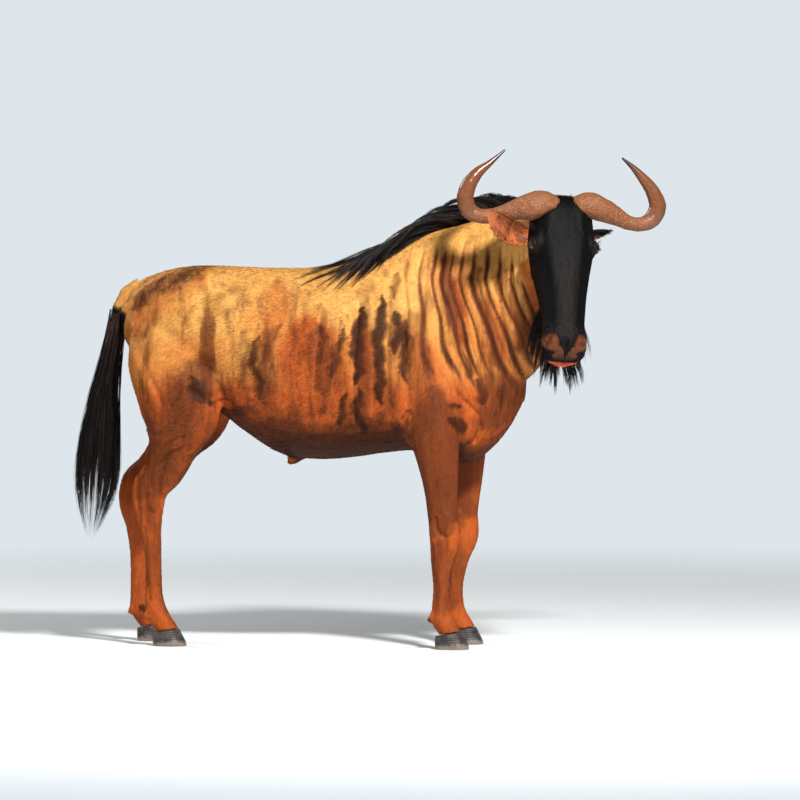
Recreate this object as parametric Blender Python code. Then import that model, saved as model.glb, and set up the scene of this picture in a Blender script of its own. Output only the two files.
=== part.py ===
"""A blue wildebeest bull at life size, standing with its head turned to its right.

Metres, +Z up. The animal faces +X. Its shape is written down in a body frame whose X is
measured forward from the middle of the trunk, and the last step moves the finished pieces so
that the origin is on the floor under the middle of the whole animal.
"""

import math
import random

import bmesh
import bpy
import numpy as np
from mathutils import Matrix, Vector
from mathutils.bvhtree import BVHTree

# How fine the flesh is shaped, and the gap that pieces which touch keep between them
VOXEL = 0.0065
GAP = 0.0003

# The trunk: forward, height of back, height of belly, half width, height of widest
TRUNK = (
    (-0.585, 1.100, 1.000, 0.040, 1.055),
    (-0.545, 1.158, 0.930, 0.082, 1.040),
    (-0.470, 1.198, 0.840, 0.130, 1.020),
    (-0.380, 1.220, 0.760, 0.170, 1.000),
    (-0.280, 1.225, 0.760, 0.192, 0.980),
    (-0.180, 1.221, 0.690, 0.208, 0.950),
    (-0.060, 1.218, 0.616, 0.222, 0.920),
    (0.060, 1.222, 0.598, 0.228, 0.900),
    (0.180, 1.248, 0.606, 0.226, 0.890),
    (0.290, 1.296, 0.622, 0.212, 0.880),
    (0.390, 1.328, 0.628, 0.196, 0.880),
    (0.480, 1.342, 0.605, 0.182, 0.870),
    (0.560, 1.320, 0.592, 0.160, 0.850),
    (0.630, 1.230, 0.640, 0.130, 0.850),
    (0.690, 1.100, 0.715, 0.092, 0.870),
    (0.735, 0.990, 0.800, 0.045, 0.890),
)

# The neck, from inside the chest to the skull: centre, half width, half height to crest, to throat
NECK = (
    (0.400, 0.000, 1.010, 0.165, 0.300, 0.300),
    (0.560, -0.004, 1.090, 0.140, 0.285, 0.300),
    (0.680, -0.020, 1.170, 0.116, 0.245, 0.262),
    (0.780, -0.058, 1.245, 0.100, 0.200, 0.205),
    (0.850, -0.120, 1.290, 0.092, 0.150, 0.150),
)

# The head in its own frame: down the face, height of face line, of jaw line, half width, of widest
HEAD_CROWN = Vector((0.902, -0.230, 1.448))
HEAD_TURN = math.radians(-69.0)
HEAD_DROOP = math.radians(70.0)
HEAD_TILT = math.radians(-3.5)
HEAD = (
    (-0.026, -0.055, -0.150, 0.040, -0.100),
    (-0.012, -0.026, -0.185, 0.076, -0.100),
    (0.012, -0.004, -0.208, 0.097, -0.090),
    (0.060, 0.005, -0.225, 0.102, -0.080),
    (0.110, 0.007, -0.236, 0.105, -0.072),
    (0.160, 0.007, -0.238, 0.104, -0.074),
    (0.205, 0.008, -0.226, 0.096, -0.080),
    (0.260, 0.009, -0.198, 0.086, -0.082),
    (0.310, 0.007, -0.170, 0.078, -0.078),
    (0.360, 0.004, -0.150, 0.072, -0.073),
    (0.410, 0.000, -0.136, 0.068, -0.068),
    (0.450, -0.003, -0.128, 0.070, -0.066),
    (0.485, -0.009, -0.124, 0.072, -0.066),
    (0.512, -0.032, -0.120, 0.064, -0.072),
    (0.530, -0.066, -0.110, 0.048, -0.088),
)
EYE_PLACE = Vector((0.151, 0.095, -0.043))
EYE_RADIUS = 0.021

# The horns: outward, down from the crown, toward the face, half thickness
HORNS = {
    "horn_right": (
        (0.018, 0.048, -0.050, 0.020),
        (0.042, 0.030, -0.030, 0.036),
        (0.071, 0.026, -0.025, 0.043),
        (0.104, 0.036, -0.026, 0.045),
        (0.136, 0.044, -0.030, 0.038),
        (0.165, 0.053, -0.034, 0.031),
        (0.228, 0.073, -0.044, 0.0238),
        (0.264, 0.077, -0.048, 0.0240),
        (0.300, 0.063, -0.050, 0.0270),
        (0.315, 0.028, -0.050, 0.0275),
        (0.305, -0.017, -0.048, 0.0250),
        (0.278, -0.057, -0.047, 0.0190),
        (0.236, -0.093, -0.048, 0.0105),
        (0.186, -0.138, -0.050, 0.0035),
    ),
    "horn_left": (
        (0.028, 0.044, -0.050, 0.020),
        (0.050, 0.026, -0.030, 0.034),
        (0.082, 0.022, -0.025, 0.042),
        (0.120, 0.033, -0.026, 0.039),
        (0.170, 0.051, -0.034, 0.031),
        (0.214, 0.070, -0.042, 0.0235),
        (0.252, 0.073, -0.047, 0.0235),
        (0.290, 0.056, -0.050, 0.0270),
        (0.310, 0.014, -0.050, 0.0280),
        (0.297, -0.027, -0.048, 0.0240),
        (0.258, -0.078, -0.047, 0.0160),
        (0.228, -0.108, -0.048, 0.0095),
        (0.194, -0.135, -0.050, 0.0035),
    ),
}

# The ears in the head's frame: root, tip, the way the cup opens
EARS = {
    "ear_right": ((0.112, -0.080, -0.108), (0.073, -0.270, 0.018), (0.25, -0.10, 1.0)),
    "ear_left": ((0.106, 0.080, -0.112), (0.020, 0.184, -0.200), (0.45, 0.60, -0.60)),
}
EAR_SAG = 0.014

# The planes that part the flesh: a point on each and the way it faces
NECK_PLANE = ((0.460, 0.0, 1.360), (0.940, 0.0, 0.340))
HEAD_PLANE = ((0.800, -0.060, 1.250), (0.600, -0.780, 0.150))

# The bony part of the tail, then the hair's middle line: forward, up, half width
DOCK = (
    (-0.530, 1.142, 0.032),
    (-0.578, 1.118, 0.030),
    (-0.607, 1.052, 0.026),
    (-0.620, 0.980, 0.024),
    (-0.636, 0.890, 0.026),
    (-0.652, 0.790, 0.034),
    (-0.664, 0.710, 0.032),
    (-0.670, 0.650, 0.012),
)

# The crest that the mane grows on, and the underside of the jaw that the beard grows on
CREST = (
    (0.835, -0.120, 1.440), (0.790, -0.085, 1.440), (0.740, -0.052, 1.430), (0.670, -0.022, 1.405),
    (0.600, -0.008, 1.380), (0.530, 0.000, 1.365), (0.460, 0.000, 1.350), (0.390, 0.000, 1.332),
    (0.320, 0.000, 1.305), (0.265, 0.000, 1.280),
)
BEARD_CORE = (
    (0.215, -0.218, 0.018, 0.020, 0.030),
    (0.300, -0.172, 0.022, 0.020, 0.036),
    (0.380, -0.140, 0.024, 0.020, 0.040),
    (0.450, -0.124, 0.022, 0.020, 0.034),
    (0.500, -0.116, 0.014, 0.012, 0.018),
)
# Where the hooves end, which is lower at the heel than at the toe
CORONET_HEIGHT = 0.050
CORONET_SLOPE = (-0.16, 0, 1.0)

# How many locks the tail, the mane and the beard have
TAIL_LOCKS = 28
MANE_LOCKS = 36
BEARD_LOCKS = 22

# Colours for the parts as they lie in the library
COLOURS = {
    "hide": (0.36, 0.22, 0.12),
    "dark hide": (0.10, 0.07, 0.05),
    "hair": (0.02, 0.018, 0.016),
    "horn": (0.20, 0.16, 0.12),
    "hoof": (0.09, 0.08, 0.075),
    "eye": (0.03, 0.015, 0.01),
}

# A foreleg: forward, outward, up, half width across, half depth to the front, to the back
FORELEG = (
    (0.445, 0.060, 1.020, 0.080, 0.110, 0.120),
    (0.448, 0.104, 0.880, 0.084, 0.115, 0.110),
    (0.452, 0.128, 0.760, 0.076, 0.098, 0.092),
    (0.470, 0.140, 0.650, 0.062, 0.076, 0.078),
    (0.484, 0.138, 0.532, 0.048, 0.058, 0.060),
    (0.489, 0.136, 0.427, 0.040, 0.050, 0.049),
    (0.493, 0.135, 0.345, 0.041, 0.054, 0.047),
    (0.487, 0.135, 0.285, 0.033, 0.038, 0.038),
    (0.483, 0.134, 0.187, 0.023, 0.026, 0.027),
    (0.483, 0.134, 0.130, 0.026, 0.028, 0.031),
    (0.486, 0.134, 0.098, 0.033, 0.034, 0.038),
    (0.502, 0.134, 0.070, 0.032, 0.033, 0.034),
    (0.517, 0.134, 0.040, 0.034, 0.037, 0.037),
)

# A hind leg, the same way
HINDLEG = (
    (-0.380, 0.060, 1.060, 0.070, 0.140, 0.130),
    (-0.385, 0.104, 0.920, 0.088, 0.172, 0.160),
    (-0.375, 0.134, 0.800, 0.086, 0.152, 0.134),
    (-0.372, 0.142, 0.710, 0.072, 0.125, 0.112),
    (-0.390, 0.140, 0.635, 0.058, 0.080, 0.084),
    (-0.424, 0.132, 0.565, 0.045, 0.070, 0.062),
    (-0.462, 0.124, 0.500, 0.039, 0.052, 0.070),
    (-0.472, 0.121, 0.450, 0.038, 0.050, 0.056),
    (-0.466, 0.120, 0.380, 0.030, 0.036, 0.038),
    (-0.460, 0.120, 0.300, 0.024, 0.030, 0.030),
    (-0.457, 0.120, 0.220, 0.023, 0.028, 0.029),
    (-0.453, 0.120, 0.145, 0.026, 0.030, 0.033),
    (-0.446, 0.120, 0.105, 0.033, 0.036, 0.040),
    (-0.426, 0.120, 0.072, 0.032, 0.034, 0.036),
    (-0.408, 0.120, 0.040, 0.034, 0.038, 0.037),
)

# How each leg differs from the plain one: its side, then heights with a shift forward at each
LEGS = {
    "fore_right": (FORELEG, -1, ((0.0, 0.0), (1.0, 0.0))),
    "fore_left": (
        FORELEG, 1,
        ((0.0, 0.002), (0.19, 0.004), (0.34, 0.014), (0.50, 0.028), (0.62, 0.044), (0.80, 0.030), (1.0, 0.0)),
    ),
    "hind_right": (HINDLEG, -1, ((0.0, 0.0), (1.0, 0.0))),
    "hind_left": (
        HINDLEG, 1,
        ((0.0, -0.102), (0.45, -0.098), (0.52, -0.088), (0.60, -0.068), (0.71, -0.034), (0.80, -0.010), (0.90, 0.0)),
    ),
}


def flowing(rows, count, key=3):
    """Rows read at even steps along a smooth curve through the given ones."""
    given = np.array(rows, float)
    steps = np.linalg.norm(np.diff(given[:, :key], axis=0), axis=1)
    at = np.concatenate([[0.0], np.cumsum(steps)])
    slopes = np.gradient(given, at, axis=0)
    wanted = np.linspace(0.0, at[-1], count)
    before = np.clip(np.searchsorted(at, wanted, side="right") - 1, 0, len(at) - 2)
    span = (at[before + 1] - at[before])[:, None]
    t = (wanted - at[before])[:, None] / span
    return (
        (2 * t**3 - 3 * t**2 + 1) * given[before]
        + (t**3 - 2 * t**2 + t) * span * slopes[before]
        + (3 * t**2 - 2 * t**3) * given[before + 1]
        + (t**3 - t**2) * span * slopes[before + 1]
    )


def power(value, exponent):
    """value raised to exponent, with its sign kept."""
    return np.sign(value) * np.abs(value) ** exponent


def mesh_object(name, points, faces):
    """A mesh object whose faces all point out."""
    mesh = bpy.data.meshes.new(name)
    mesh.from_pydata([tuple(p) for p in points], [], faces)
    shape = bmesh.new()
    shape.from_mesh(mesh)
    bmesh.ops.recalc_face_normals(shape, faces=shape.faces)
    shape.to_mesh(mesh)
    shape.free()
    made = bpy.data.objects.new(name, mesh)
    bpy.context.scene.collection.objects.link(made)
    return made


def over_rings(name, rings):
    """A closed mesh over rings of points, with each end drawn in to its middle."""
    rings = np.array(rings)
    count, sides = rings.shape[:2]
    points = list(rings.reshape(-1, 3)) + [rings[0].mean(0), rings[-1].mean(0)]
    first, last = count * sides, count * sides + 1
    faces = []
    for side in range(sides):
        after = (side + 1) % sides
        faces.append((first, side, after))
        faces.append((last, (count - 1) * sides + after, (count - 1) * sides + side))
        for row in range(count - 1):
            low, high = row * sides, (row + 1) * sides
            faces.append((low + side, high + side, high + after, low + after))
    return mesh_object(name, points, faces)


def turn(sides):
    """The cosine and sine of each corner's angle round a ring."""
    angles = np.arange(sides) * 2 * math.pi / sides
    return np.cos(angles), np.sin(angles)


def upright_body(name, rows, count, sides, top_power, bottom_power):
    """A body along X: each row is forward, top, bottom, half width, height of widest."""
    across, rise = turn(sides)
    rings = []
    for x, top, bottom, width, widest in flowing(rows, count, key=1):
        up, down = top - widest, widest - bottom
        height = np.where(rise > 0, up, down) * rise
        narrow = np.where(rise > 0, top_power, bottom_power)
        ring = np.stack([np.full(sides, x), width * power(across, narrow), widest + height], 1)
        rings.append(ring)
    return over_rings(name, rings)


def limb(name, rows, count, sides, side_axis=None):
    """A limb along a path: each row is a centre, half width, half depth to the front, to the back."""
    across, rise = turn(sides)
    flow = flowing(rows, count)
    tangents = np.gradient(flow[:, :3], axis=0)
    rings = []
    for row, along in zip(flow, tangents):
        along = Vector(along).normalized()
        side = Vector(side_axis) if side_axis else Vector((0, 0, 1)).cross(along)
        side = (side - along * side.dot(along)).normalized()
        front = along.cross(side)
        depth = np.where(rise > 0, row[4], row[5]) * rise
        rings.append(row[:3] + np.outer(row[3] * across, side) + np.outer(depth, front))
    return over_rings(name, rings)


def lobe(name, start, end, half_side, half_front, side_axis=(0, 1, 0)):
    """A muscle or bone that swells from one end to the other and back."""
    start, end = Vector(start), Vector(end)
    rows = []
    for share in np.linspace(-0.97, 0.97, 9):
        swell = math.sqrt(1 - share * share)
        centre = start.lerp(end, (share + 1) / 2)
        rows.append((*centre, half_side * swell, half_front * swell, half_front * swell))
    return limb(name, rows, 13, 14, side_axis)


def settle(thing):
    """Applies the object's modifiers."""
    graph = bpy.context.evaluated_depsgraph_get()
    mesh = bpy.data.meshes.new_from_object(thing.evaluated_get(graph))
    old = thing.data
    thing.modifiers.clear()
    thing.data = mesh
    bpy.data.meshes.remove(old)
    return thing


def discard(*things):
    for thing in things:
        bpy.data.objects.remove(thing)


def copy_of(thing, name):
    made = thing.copy()
    made.data = thing.data.copy()
    made.name = name
    bpy.context.scene.collection.objects.link(made)
    return made


def placed(thing, matrix):
    thing.data.transform(matrix)
    return thing


def melted(name, pieces, voxel):
    """One closed skin over all the pieces."""
    corners, faces, start = [], [], 0
    for piece in pieces:
        corners.extend(v.co.copy() for v in piece.data.vertices)
        faces.extend(tuple(start + i for i in p.vertices) for p in piece.data.polygons)
        start += len(piece.data.vertices)
    discard(*pieces)
    whole = bpy.data.meshes.new(name)
    whole.from_pydata(corners, [], faces)
    made = bpy.data.objects.new(name, whole)
    bpy.context.scene.collection.objects.link(made)
    remesh = made.modifiers.new("Remesh", "REMESH")
    remesh.mode = "VOXEL"
    remesh.voxel_size = voxel
    return settle(made)


def relaxed(thing, rounds, strength):
    """Evens out the surface, by a strength from 0 to 1 that is worked out for each point."""
    mesh = thing.data
    count = len(mesh.vertices)
    points = np.empty(count * 3)
    mesh.vertices.foreach_get("co", points)
    points = points.reshape(-1, 3)
    ends = np.empty(len(mesh.edges) * 2, int)
    mesh.edges.foreach_get("vertices", ends)
    one, other = ends.reshape(-1, 2).T
    near = np.bincount(one, minlength=count) + np.bincount(other, minlength=count)
    weight = strength(points)[:, None]
    for step in range(rounds):
        # Each shrinking pass is followed by a slightly stronger swelling one
        for push in (0.5, -0.51):
            middle = np.stack(
                [
                    np.bincount(one, points[other, axis], count)
                    + np.bincount(other, points[one, axis], count)
                    for axis in range(3)
                ],
                1,
            ) / near[:, None]
            points = points + push * weight * (middle - points)
    mesh.vertices.foreach_set("co", points.ravel())
    mesh.update()
    return thing


def head_matrix():
    return (
        Matrix.Translation(HEAD_CROWN)
        @ Matrix.Rotation(HEAD_TURN, 4, "Z")
        @ Matrix.Rotation(HEAD_TILT, 4, "X")
        @ Matrix.Rotation(HEAD_DROOP, 4, "Y")
    )


def leg_rows(name):
    """The rows of one leg: the plain leg, set to its side and shifted."""
    rows, side, shifts = LEGS[name]
    heights, moves = zip(*shifts)
    return [
        (x + float(np.interp(z, heights, moves)), side * y, z, wide, front, back)
        for x, y, z, wide, front, back in rows
    ]


def bounded(thing):
    """The low and high corners of a mesh."""
    points = np.array([v.co for v in thing.data.vertices])
    return points.min(0), points.max(0)


def boolean(thing, other, operation, solver="MANIFOLD"):
    """Cuts, joins or crosses thing with other, which is used up."""
    step = thing.modifiers.new("Boolean", "BOOLEAN")
    step.operation = operation
    step.solver = solver
    step.object = other
    settle(thing)
    discard(other)
    return thing


def block(corner, opposite, matrix=Matrix.Identity(4)):
    """A box between two corners of the frame that the matrix gives."""
    (x0, y0, z0), (x1, y1, z1) = corner, opposite
    points = [Vector((x, y, z)) for x in (x0, x1) for y in (y0, y1) for z in (z0, z1)]
    faces = [(0, 1, 3, 2), (4, 6, 7, 5), (0, 4, 5, 1), (2, 3, 7, 6), (0, 2, 6, 4), (1, 5, 7, 3)]
    return placed(mesh_object("block", points, faces), matrix)


def beyond(plane, grow=0.0):
    """A block that fills the space in front of a plane, or behind it once the plane is moved by grow."""
    point, normal = plane
    normal = Vector(normal).normalized()
    frame = normal.to_track_quat("Z", "Y").to_matrix().to_4x4()
    frame.translation = Vector(point) - normal * grow
    return block((-2, -2, 0), (2, 2, 3), frame)


def leg_zone(name, grow=0.0):
    """The space that holds one leg, up to where it leaves the trunk."""
    rows, side, _ = LEGS[name]
    if rows is FORELEG:
        inner, low, rise, back, front = 0.012, 0.532, 1.18, 0.33, 0.640
    else:
        inner, low, rise, back, front = 0.012, 0.663, 1.50, -0.90, -0.205
    outer = 0.40
    slant = grow * math.hypot(1, rise)
    inner -= grow
    outline = [
        (inner, -0.2),
        (outer, -0.2),
        (outer, low + (outer - 0.012) * rise + slant),
        (inner, low + (inner - 0.012) * rise + slant),
    ]
    rings = [[(x, side * y, z) for y, z in outline] for x in (back - grow, front + grow)]
    return over_rings("zone", rings)


def triangulated(thing):
    thing.modifiers.new("Triangles", "TRIANGULATE")
    return settle(thing)


def closed(thing):
    """Whether every edge of the mesh joins exactly two faces."""
    shape = bmesh.new()
    shape.from_mesh(thing.data)
    sound = all(edge.is_manifold for edge in shape.edges) and all(vert.is_manifold for vert in shape.verts)
    shape.free()
    return sound


def thinned(thing, triangles):
    """The same shape with about the given number of triangles, as one closed mesh."""
    now = sum(len(p.vertices) - 2 for p in thing.data.polygons)
    full = thing.data
    for attempt in range(12):
        thing.data = full.copy()
        thing.modifiers.new("Triangles", "TRIANGULATE")
        step = thing.modifiers.new("Decimate", "DECIMATE")
        step.ratio = min(1.0, triangles * (1 + 0.015 * attempt) / now)
        if closed(settle(thing)):
            break
    bpy.data.meshes.remove(full)
    return thing


def swollen(thing, by):
    """A copy of thing, pushed out by a small distance."""
    made = copy_of(thing, "swollen")
    normals = [v.normal.copy() for v in made.data.vertices]
    for vertex, normal in zip(made.data.vertices, normals):
        vertex.co += normal * by
    return made


def clear_of(thing, others):
    """Cuts thing back so that a small gap is left to each of the others."""
    for other in others:
        boolean(thing, swollen(other, GAP), "DIFFERENCE")
    return thing


def largest(thing):
    """Keeps only the closed surface that holds the most."""
    shape = bmesh.new()
    shape.from_mesh(thing.data)
    left = set(shape.verts)
    islands = []
    while left:
        edge = [left.pop()]
        island = set(edge)
        while edge:
            for link in edge.pop().link_edges:
                for vert in link.verts:
                    if vert in left:
                        left.discard(vert)
                        island.add(vert)
                        edge.append(vert)
        spread = np.ptp(np.array([v.co for v in island]), axis=0)
        islands.append((float(spread.prod()), island))
    islands.sort(key=lambda pair: pair[0])
    for _, island in islands[:-1]:
        bmesh.ops.delete(shape, geom=list(island), context="VERTS")
    shape.to_mesh(thing.data)
    shape.free()
    return thing


def ellipsoid(centre, halves, rings=12, sides=16):
    """An ellipsoid at centre with the given half sizes."""
    across, rise = turn(sides)
    made = []
    for angle in np.linspace(math.radians(8), math.pi - math.radians(8), rings):
        made.append(
            np.stack(
                [
                    centre[0] + halves[0] * math.sin(angle) * across,
                    centre[1] + halves[1] * math.sin(angle) * rise,
                    np.full(sides, centre[2] + halves[2] * math.cos(angle)),
                ],
                1,
            )
        )
    return over_rings("ellipsoid", made)


def flesh():
    """The whole skin of the trunk, neck, head and legs, before it is parted."""
    pieces = [
        upright_body("trunk", TRUNK, 60, 40, 1.15, 0.92),
        limb("neck", NECK, 24, 32),
        placed(upright_body("skull", HEAD, 48, 36, 0.8, 1.05), head_matrix()),
        lobe("prepuce", (0.03, 0, 0.630), (-0.045, 0, 0.585), 0.022, 0.020),
    ]
    for name in LEGS:
        pieces.append(limb(name, leg_rows(name), 60, 24, (0, 1, 0)))
        rows, side, _ = LEGS[name]
        if rows is FORELEG:
            pieces += [
                lobe("blade", (0.400, side * 0.070, 1.220), (0.470, side * 0.115, 0.820), 0.066, 0.110),
                lobe("triceps", (0.320, side * 0.120, 1.000), (0.400, side * 0.135, 0.680), 0.070, 0.095),
                lobe("shoulder", (0.570, side * 0.080, 0.980), (0.560, side * 0.095, 0.740), 0.060, 0.075),
                lobe("elbow", (0.385, side * 0.132, 0.740), (0.412, side * 0.134, 0.640), 0.034, 0.040),
            ]
        else:
            calf = next(row for row in leg_rows(name) if row[2] == 0.635)
            hock = next(row for row in leg_rows(name) if row[2] == 0.500)
            pieces += [
                lobe("hip", (-0.175, side * 0.088, 1.150), (-0.255, side * 0.105, 1.100), 0.040, 0.055),
                lobe("thigh", (-0.330, side * 0.090, 1.110), (-0.345, side * 0.142, 0.780), 0.062, 0.140),
                lobe("ham", (-0.492, side * 0.058, 1.110), (-0.460, side * 0.100, 0.790), 0.064, 0.070),
                lobe(
                    "tendon", (calf[0] - 0.048, side * 0.132, 0.660), (hock[0] - 0.052, side * 0.123, 0.490),
                    0.015, 0.017,
                ),
            ]
        foot = next(row for row in leg_rows(name) if row[2] < 0.11)
        for out in (-0.017, 0.017):
            start = Vector((foot[0] - 0.030, foot[1] + out, 0.116))
            pieces.append(lobe("dewclaw", start, start + Vector((-0.010, 0, -0.034)), 0.012, 0.010))
    whole = melted("flesh", pieces, VOXEL)
    relaxed(whole, 90, lambda points: np.clip((points[:, 2] - 0.62) / 0.2, 0, 1))
    return relaxed(whole, 8, lambda points: np.full(len(points), 0.9))


def head_pieces():
    """The raised forms of the face, in the head's own frame."""
    pieces = []
    for side in (-1, 1):
        x, y, z = EYE_PLACE.x, side * EYE_PLACE.y, EYE_PLACE.z
        pieces += [
            ellipsoid((x, y - side * 0.012, z - 0.004), (0.036, 0.031, 0.027)),
            lobe("brow", (x - 0.070, side * 0.070, -0.034), (x + 0.020, side * 0.086, -0.022), 0.020, 0.016),
            lobe("cheek", (0.080, side * 0.082, -0.150), (0.235, side * 0.072, -0.155), 0.030, 0.045),
            lobe("crest", (0.185, side * 0.084, -0.088), (0.340, side * 0.062, -0.090), 0.013, 0.014),
            lobe("nostril rim", (0.428, side * 0.042, -0.016), (0.502, side * 0.060, -0.046), 0.016, 0.019),
            lobe("upper lip", (0.415, side * 0.058, -0.060), (0.516, side * 0.034, -0.055), 0.018, 0.019),
            lobe("lower lip", (0.430, side * 0.050, -0.098), (0.526, side * 0.022, -0.098), 0.018, 0.017),
        ]
    pieces.append(lobe("chin", (0.521, -0.034, -0.097), (0.521, 0.034, -0.097), 0.018, 0.018, (0, 0, 1)))
    return [placed(piece, head_matrix()) for piece in pieces]


def head_hollows():
    """What is cut out of the head: the slits of the lids, the nostrils and the mouth."""
    hollows = []
    across, rise = turn(14)
    for side in (-1, 1):
        # The lids part outward and a little to the front
        sight = Vector((0.0, side * 0.86, 0.50))
        over = Vector((0.0, -side * 0.50, 0.86))
        middle = Vector((EYE_PLACE.x, side * EYE_PLACE.y, EYE_PLACE.z))
        lids = []
        for out in (0.0, 0.055):
            lids.append(
                [
                    middle + sight * out + Vector((0.019, 0, 0)) * a + over * b
                    for a, b in zip(power(across, 0.85), 0.0125 * power(rise, 1.1))
                ]
            )
        hollows += [
            over_rings("lids", lids),
            lobe("nostril", (0.446, side * 0.050, -0.004), (0.490, side * 0.064, -0.036), 0.008, 0.010),
        ]
    mouth = Matrix.Translation((0.48, 0, -0.079)) @ Matrix.Rotation(math.radians(-3), 4, "Y")
    hollows.append(block((-0.055, -0.1, -0.0016), (0.1, 0.1, 0.0016), mouth))
    return [placed(hollow, head_matrix()) for hollow in hollows]


def parted(whole, name, triangles, inside=(), outside=()):
    """One piece of the flesh: thinned a little beyond its borders, then cut to them exactly."""
    piece = copy_of(whole, name)
    for zone in inside:
        boolean(piece, zone(0.03), "INTERSECT")
    thinned(piece, triangles)
    for zone in inside:
        boolean(piece, zone(-GAP / 2), "INTERSECT")
    for zone in outside:
        boolean(piece, zone(GAP / 2), "DIFFERENCE")
    return piece


def horn(name, side):
    """One horn, from its boss on the crown to its tip."""
    turned = Matrix.Rotation(HEAD_TURN, 3, "Z")
    out, face = turned @ Vector((0, side, 0)), turned @ Vector((1, 0, 0))
    rows = []
    for lateral, down, forward, thick in HORNS[name]:
        centre = HEAD_CROWN + out * lateral + face * forward
        centre.z += side * lateral * math.tan(HEAD_TILT) - down
        deep = thick * (1.15 if lateral < 0.15 and down > 0 else 1.0)
        rows.append((*centre, deep, thick, thick))
    shape = limb(name, rows, 60, 24, face)
    return thinned(melted(name, [shape], 0.003), 560)


def ear(name):
    """One ear: a leaf rolled into a cup, with its root sunk in the head."""
    root, tip, opening = (Vector(v) for v in EARS[name])
    along = (tip - root).normalized()
    opening = (opening - along * opening.dot(along)).normalized()
    across = along.cross(opening)
    length = (tip - root).length
    count = 7
    angles = np.linspace(-math.radians(84), math.radians(84), count)
    rings = []
    for share in np.linspace(0, 1, 10):
        width = float(np.interp(share, [0, 0.12, 0.3, 0.5, 0.7, 0.85, 0.95, 1],
                                [0.022, 0.027, 0.038, 0.043, 0.038, 0.026, 0.013, 0.003]))
        depth = float(np.interp(share, [0, 0.12, 0.3, 0.6, 1], [0.020, 0.024, 0.028, 0.022, 0.003]))
        wall = float(np.interp(share, [0, 0.3, 1], [0.010, 0.005, 0.0015]))
        open_by = min(1.0, share / 0.28)
        open_by = open_by * open_by * (3 - 2 * open_by)
        inner = -0.8 * depth + (depth - wall + 0.8 * depth) * open_by
        bend = -0.020 * math.sin(share * math.pi) + 0.012 * share * share
        centre = root + along * length * share + opening * (bend + depth * 0.5 * open_by)
        centre.x += EAR_SAG * math.sin(share * math.pi)
        ring = [centre + across * width * math.sin(a) - opening * depth * math.cos(a) for a in angles]
        for a in reversed(angles):
            edge = (width - wall * 0.5 * open_by) * math.sin(a)
            ring.append(centre + across * edge - opening * (inner * math.cos(a) - wall * 0.25))
        rings.append(ring)
    return placed(over_rings(name, rings), head_matrix())


def hoof(name):
    """One cloven hoof, flat on the floor."""
    foot = leg_rows(name)[-1]
    side = LEGS[name][1]
    across, rise = turn(20)
    rings = []
    for z, front, back, wide in (
        (0.0, 0.062, -0.046, 0.044),
        (0.012, 0.060, -0.048, 0.045),
        (0.034, 0.048, -0.048, 0.042),
        (0.056, 0.036, -0.044, 0.038),
        (0.072, 0.030, -0.042, 0.036),
    ):
        middle, half = (front + back) / 2, (front - back) / 2
        ring = np.stack(
            [
                foot[0] - 0.004 + middle + half * power(across, 0.85),
                foot[1] + wide * power(rise, 0.8) * (1 - 0.12 * across),
                np.full(20, z),
            ],
            1,
        )
        rings.append(ring)
    made = over_rings(name, rings)
    cleft = []
    for x, wide in ((-0.022, 0.0012), (0.030, 0.004), (0.080, 0.010)):
        x += foot[0]
        cleft.append([(x, foot[1] + y, z) for y, z in ((-wide, -0.01), (wide, -0.01), (wide, 0.1), (-wide, 0.1))])
    return boolean(made, over_rings("cleft", cleft), "DIFFERENCE")


def coronet(name, grow=0.0):
    """The space above the top of one hoof."""
    foot = leg_rows(name)[-1]
    return beyond(((foot[0], 0, CORONET_HEIGHT), CORONET_SLOPE), grow)


def surface_of(things):
    """A tree that finds the nearest place on any of the things."""
    corners, faces, start = [], [], 0
    for thing in things:
        corners.extend(v.co.copy() for v in thing.data.vertices)
        faces.extend([start + i for i in p.vertices] for p in thing.data.polygons)
        start += len(thing.data.vertices)
    return BVHTree.FromPolygons(corners, faces)


def lock(path, widths, thick, flat):
    """A flat, tapered lock along a path: a diamond in section, its wide way square to flat."""
    rings = []
    tangents = np.gradient(np.array(path), axis=0)
    for place, along, wide in zip(path, tangents, widths):
        along = Vector(along).normalized()
        side = along.cross(Vector(flat))
        side = side.normalized() if side.length > 1e-4 else along.orthogonal().normalized()
        up = side.cross(along)
        deep = min(thick, wide * 0.45)
        place = Vector(place)
        rings.append([place + side * wide, place + up * deep, place - side * wide, place - up * deep])
    return over_rings("lock", rings)


def strand(root, headings, length, surface, clear, stations=5):
    """A path from the root that turns through the headings and stays clear of the surface."""
    points = [Vector(root)]
    headings = [Vector(h).normalized() for h in headings]
    step = length / (stations - 1)
    for i in range(1, stations):
        share = (i - 0.5) / (stations - 1) * (len(headings) - 1)
        low = min(int(share), len(headings) - 2)
        heading = headings[low].lerp(headings[low + 1], share - low).normalized()
        point = points[-1] + heading * step
        for _ in range(3):
            near, normal, _, distance = surface.find_nearest(point)
            outside = (point - near).dot(normal)
            wanted = clear * min(1.0, i / 1.5)
            if outside < wanted:
                point = near + normal * wanted
        points.append(point)
    return points


def hair(core, locks, triangles):
    """The locks joined to their core as one closed body of about so many triangles."""
    triangulated(core)
    for piece in locks:
        boolean(core, triangulated(piece), "UNION", "EXACT")
    return thinned(core, triangles)


def taper(wide, stations=5):
    """Half widths along a lock that swells a little past its root and ends in a point."""
    at = np.linspace(0, 1, stations)
    return wide * np.interp(at, [0, 0.25, 0.6, 1.0], [0.75, 1.0, 0.72, 0.06])


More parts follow.
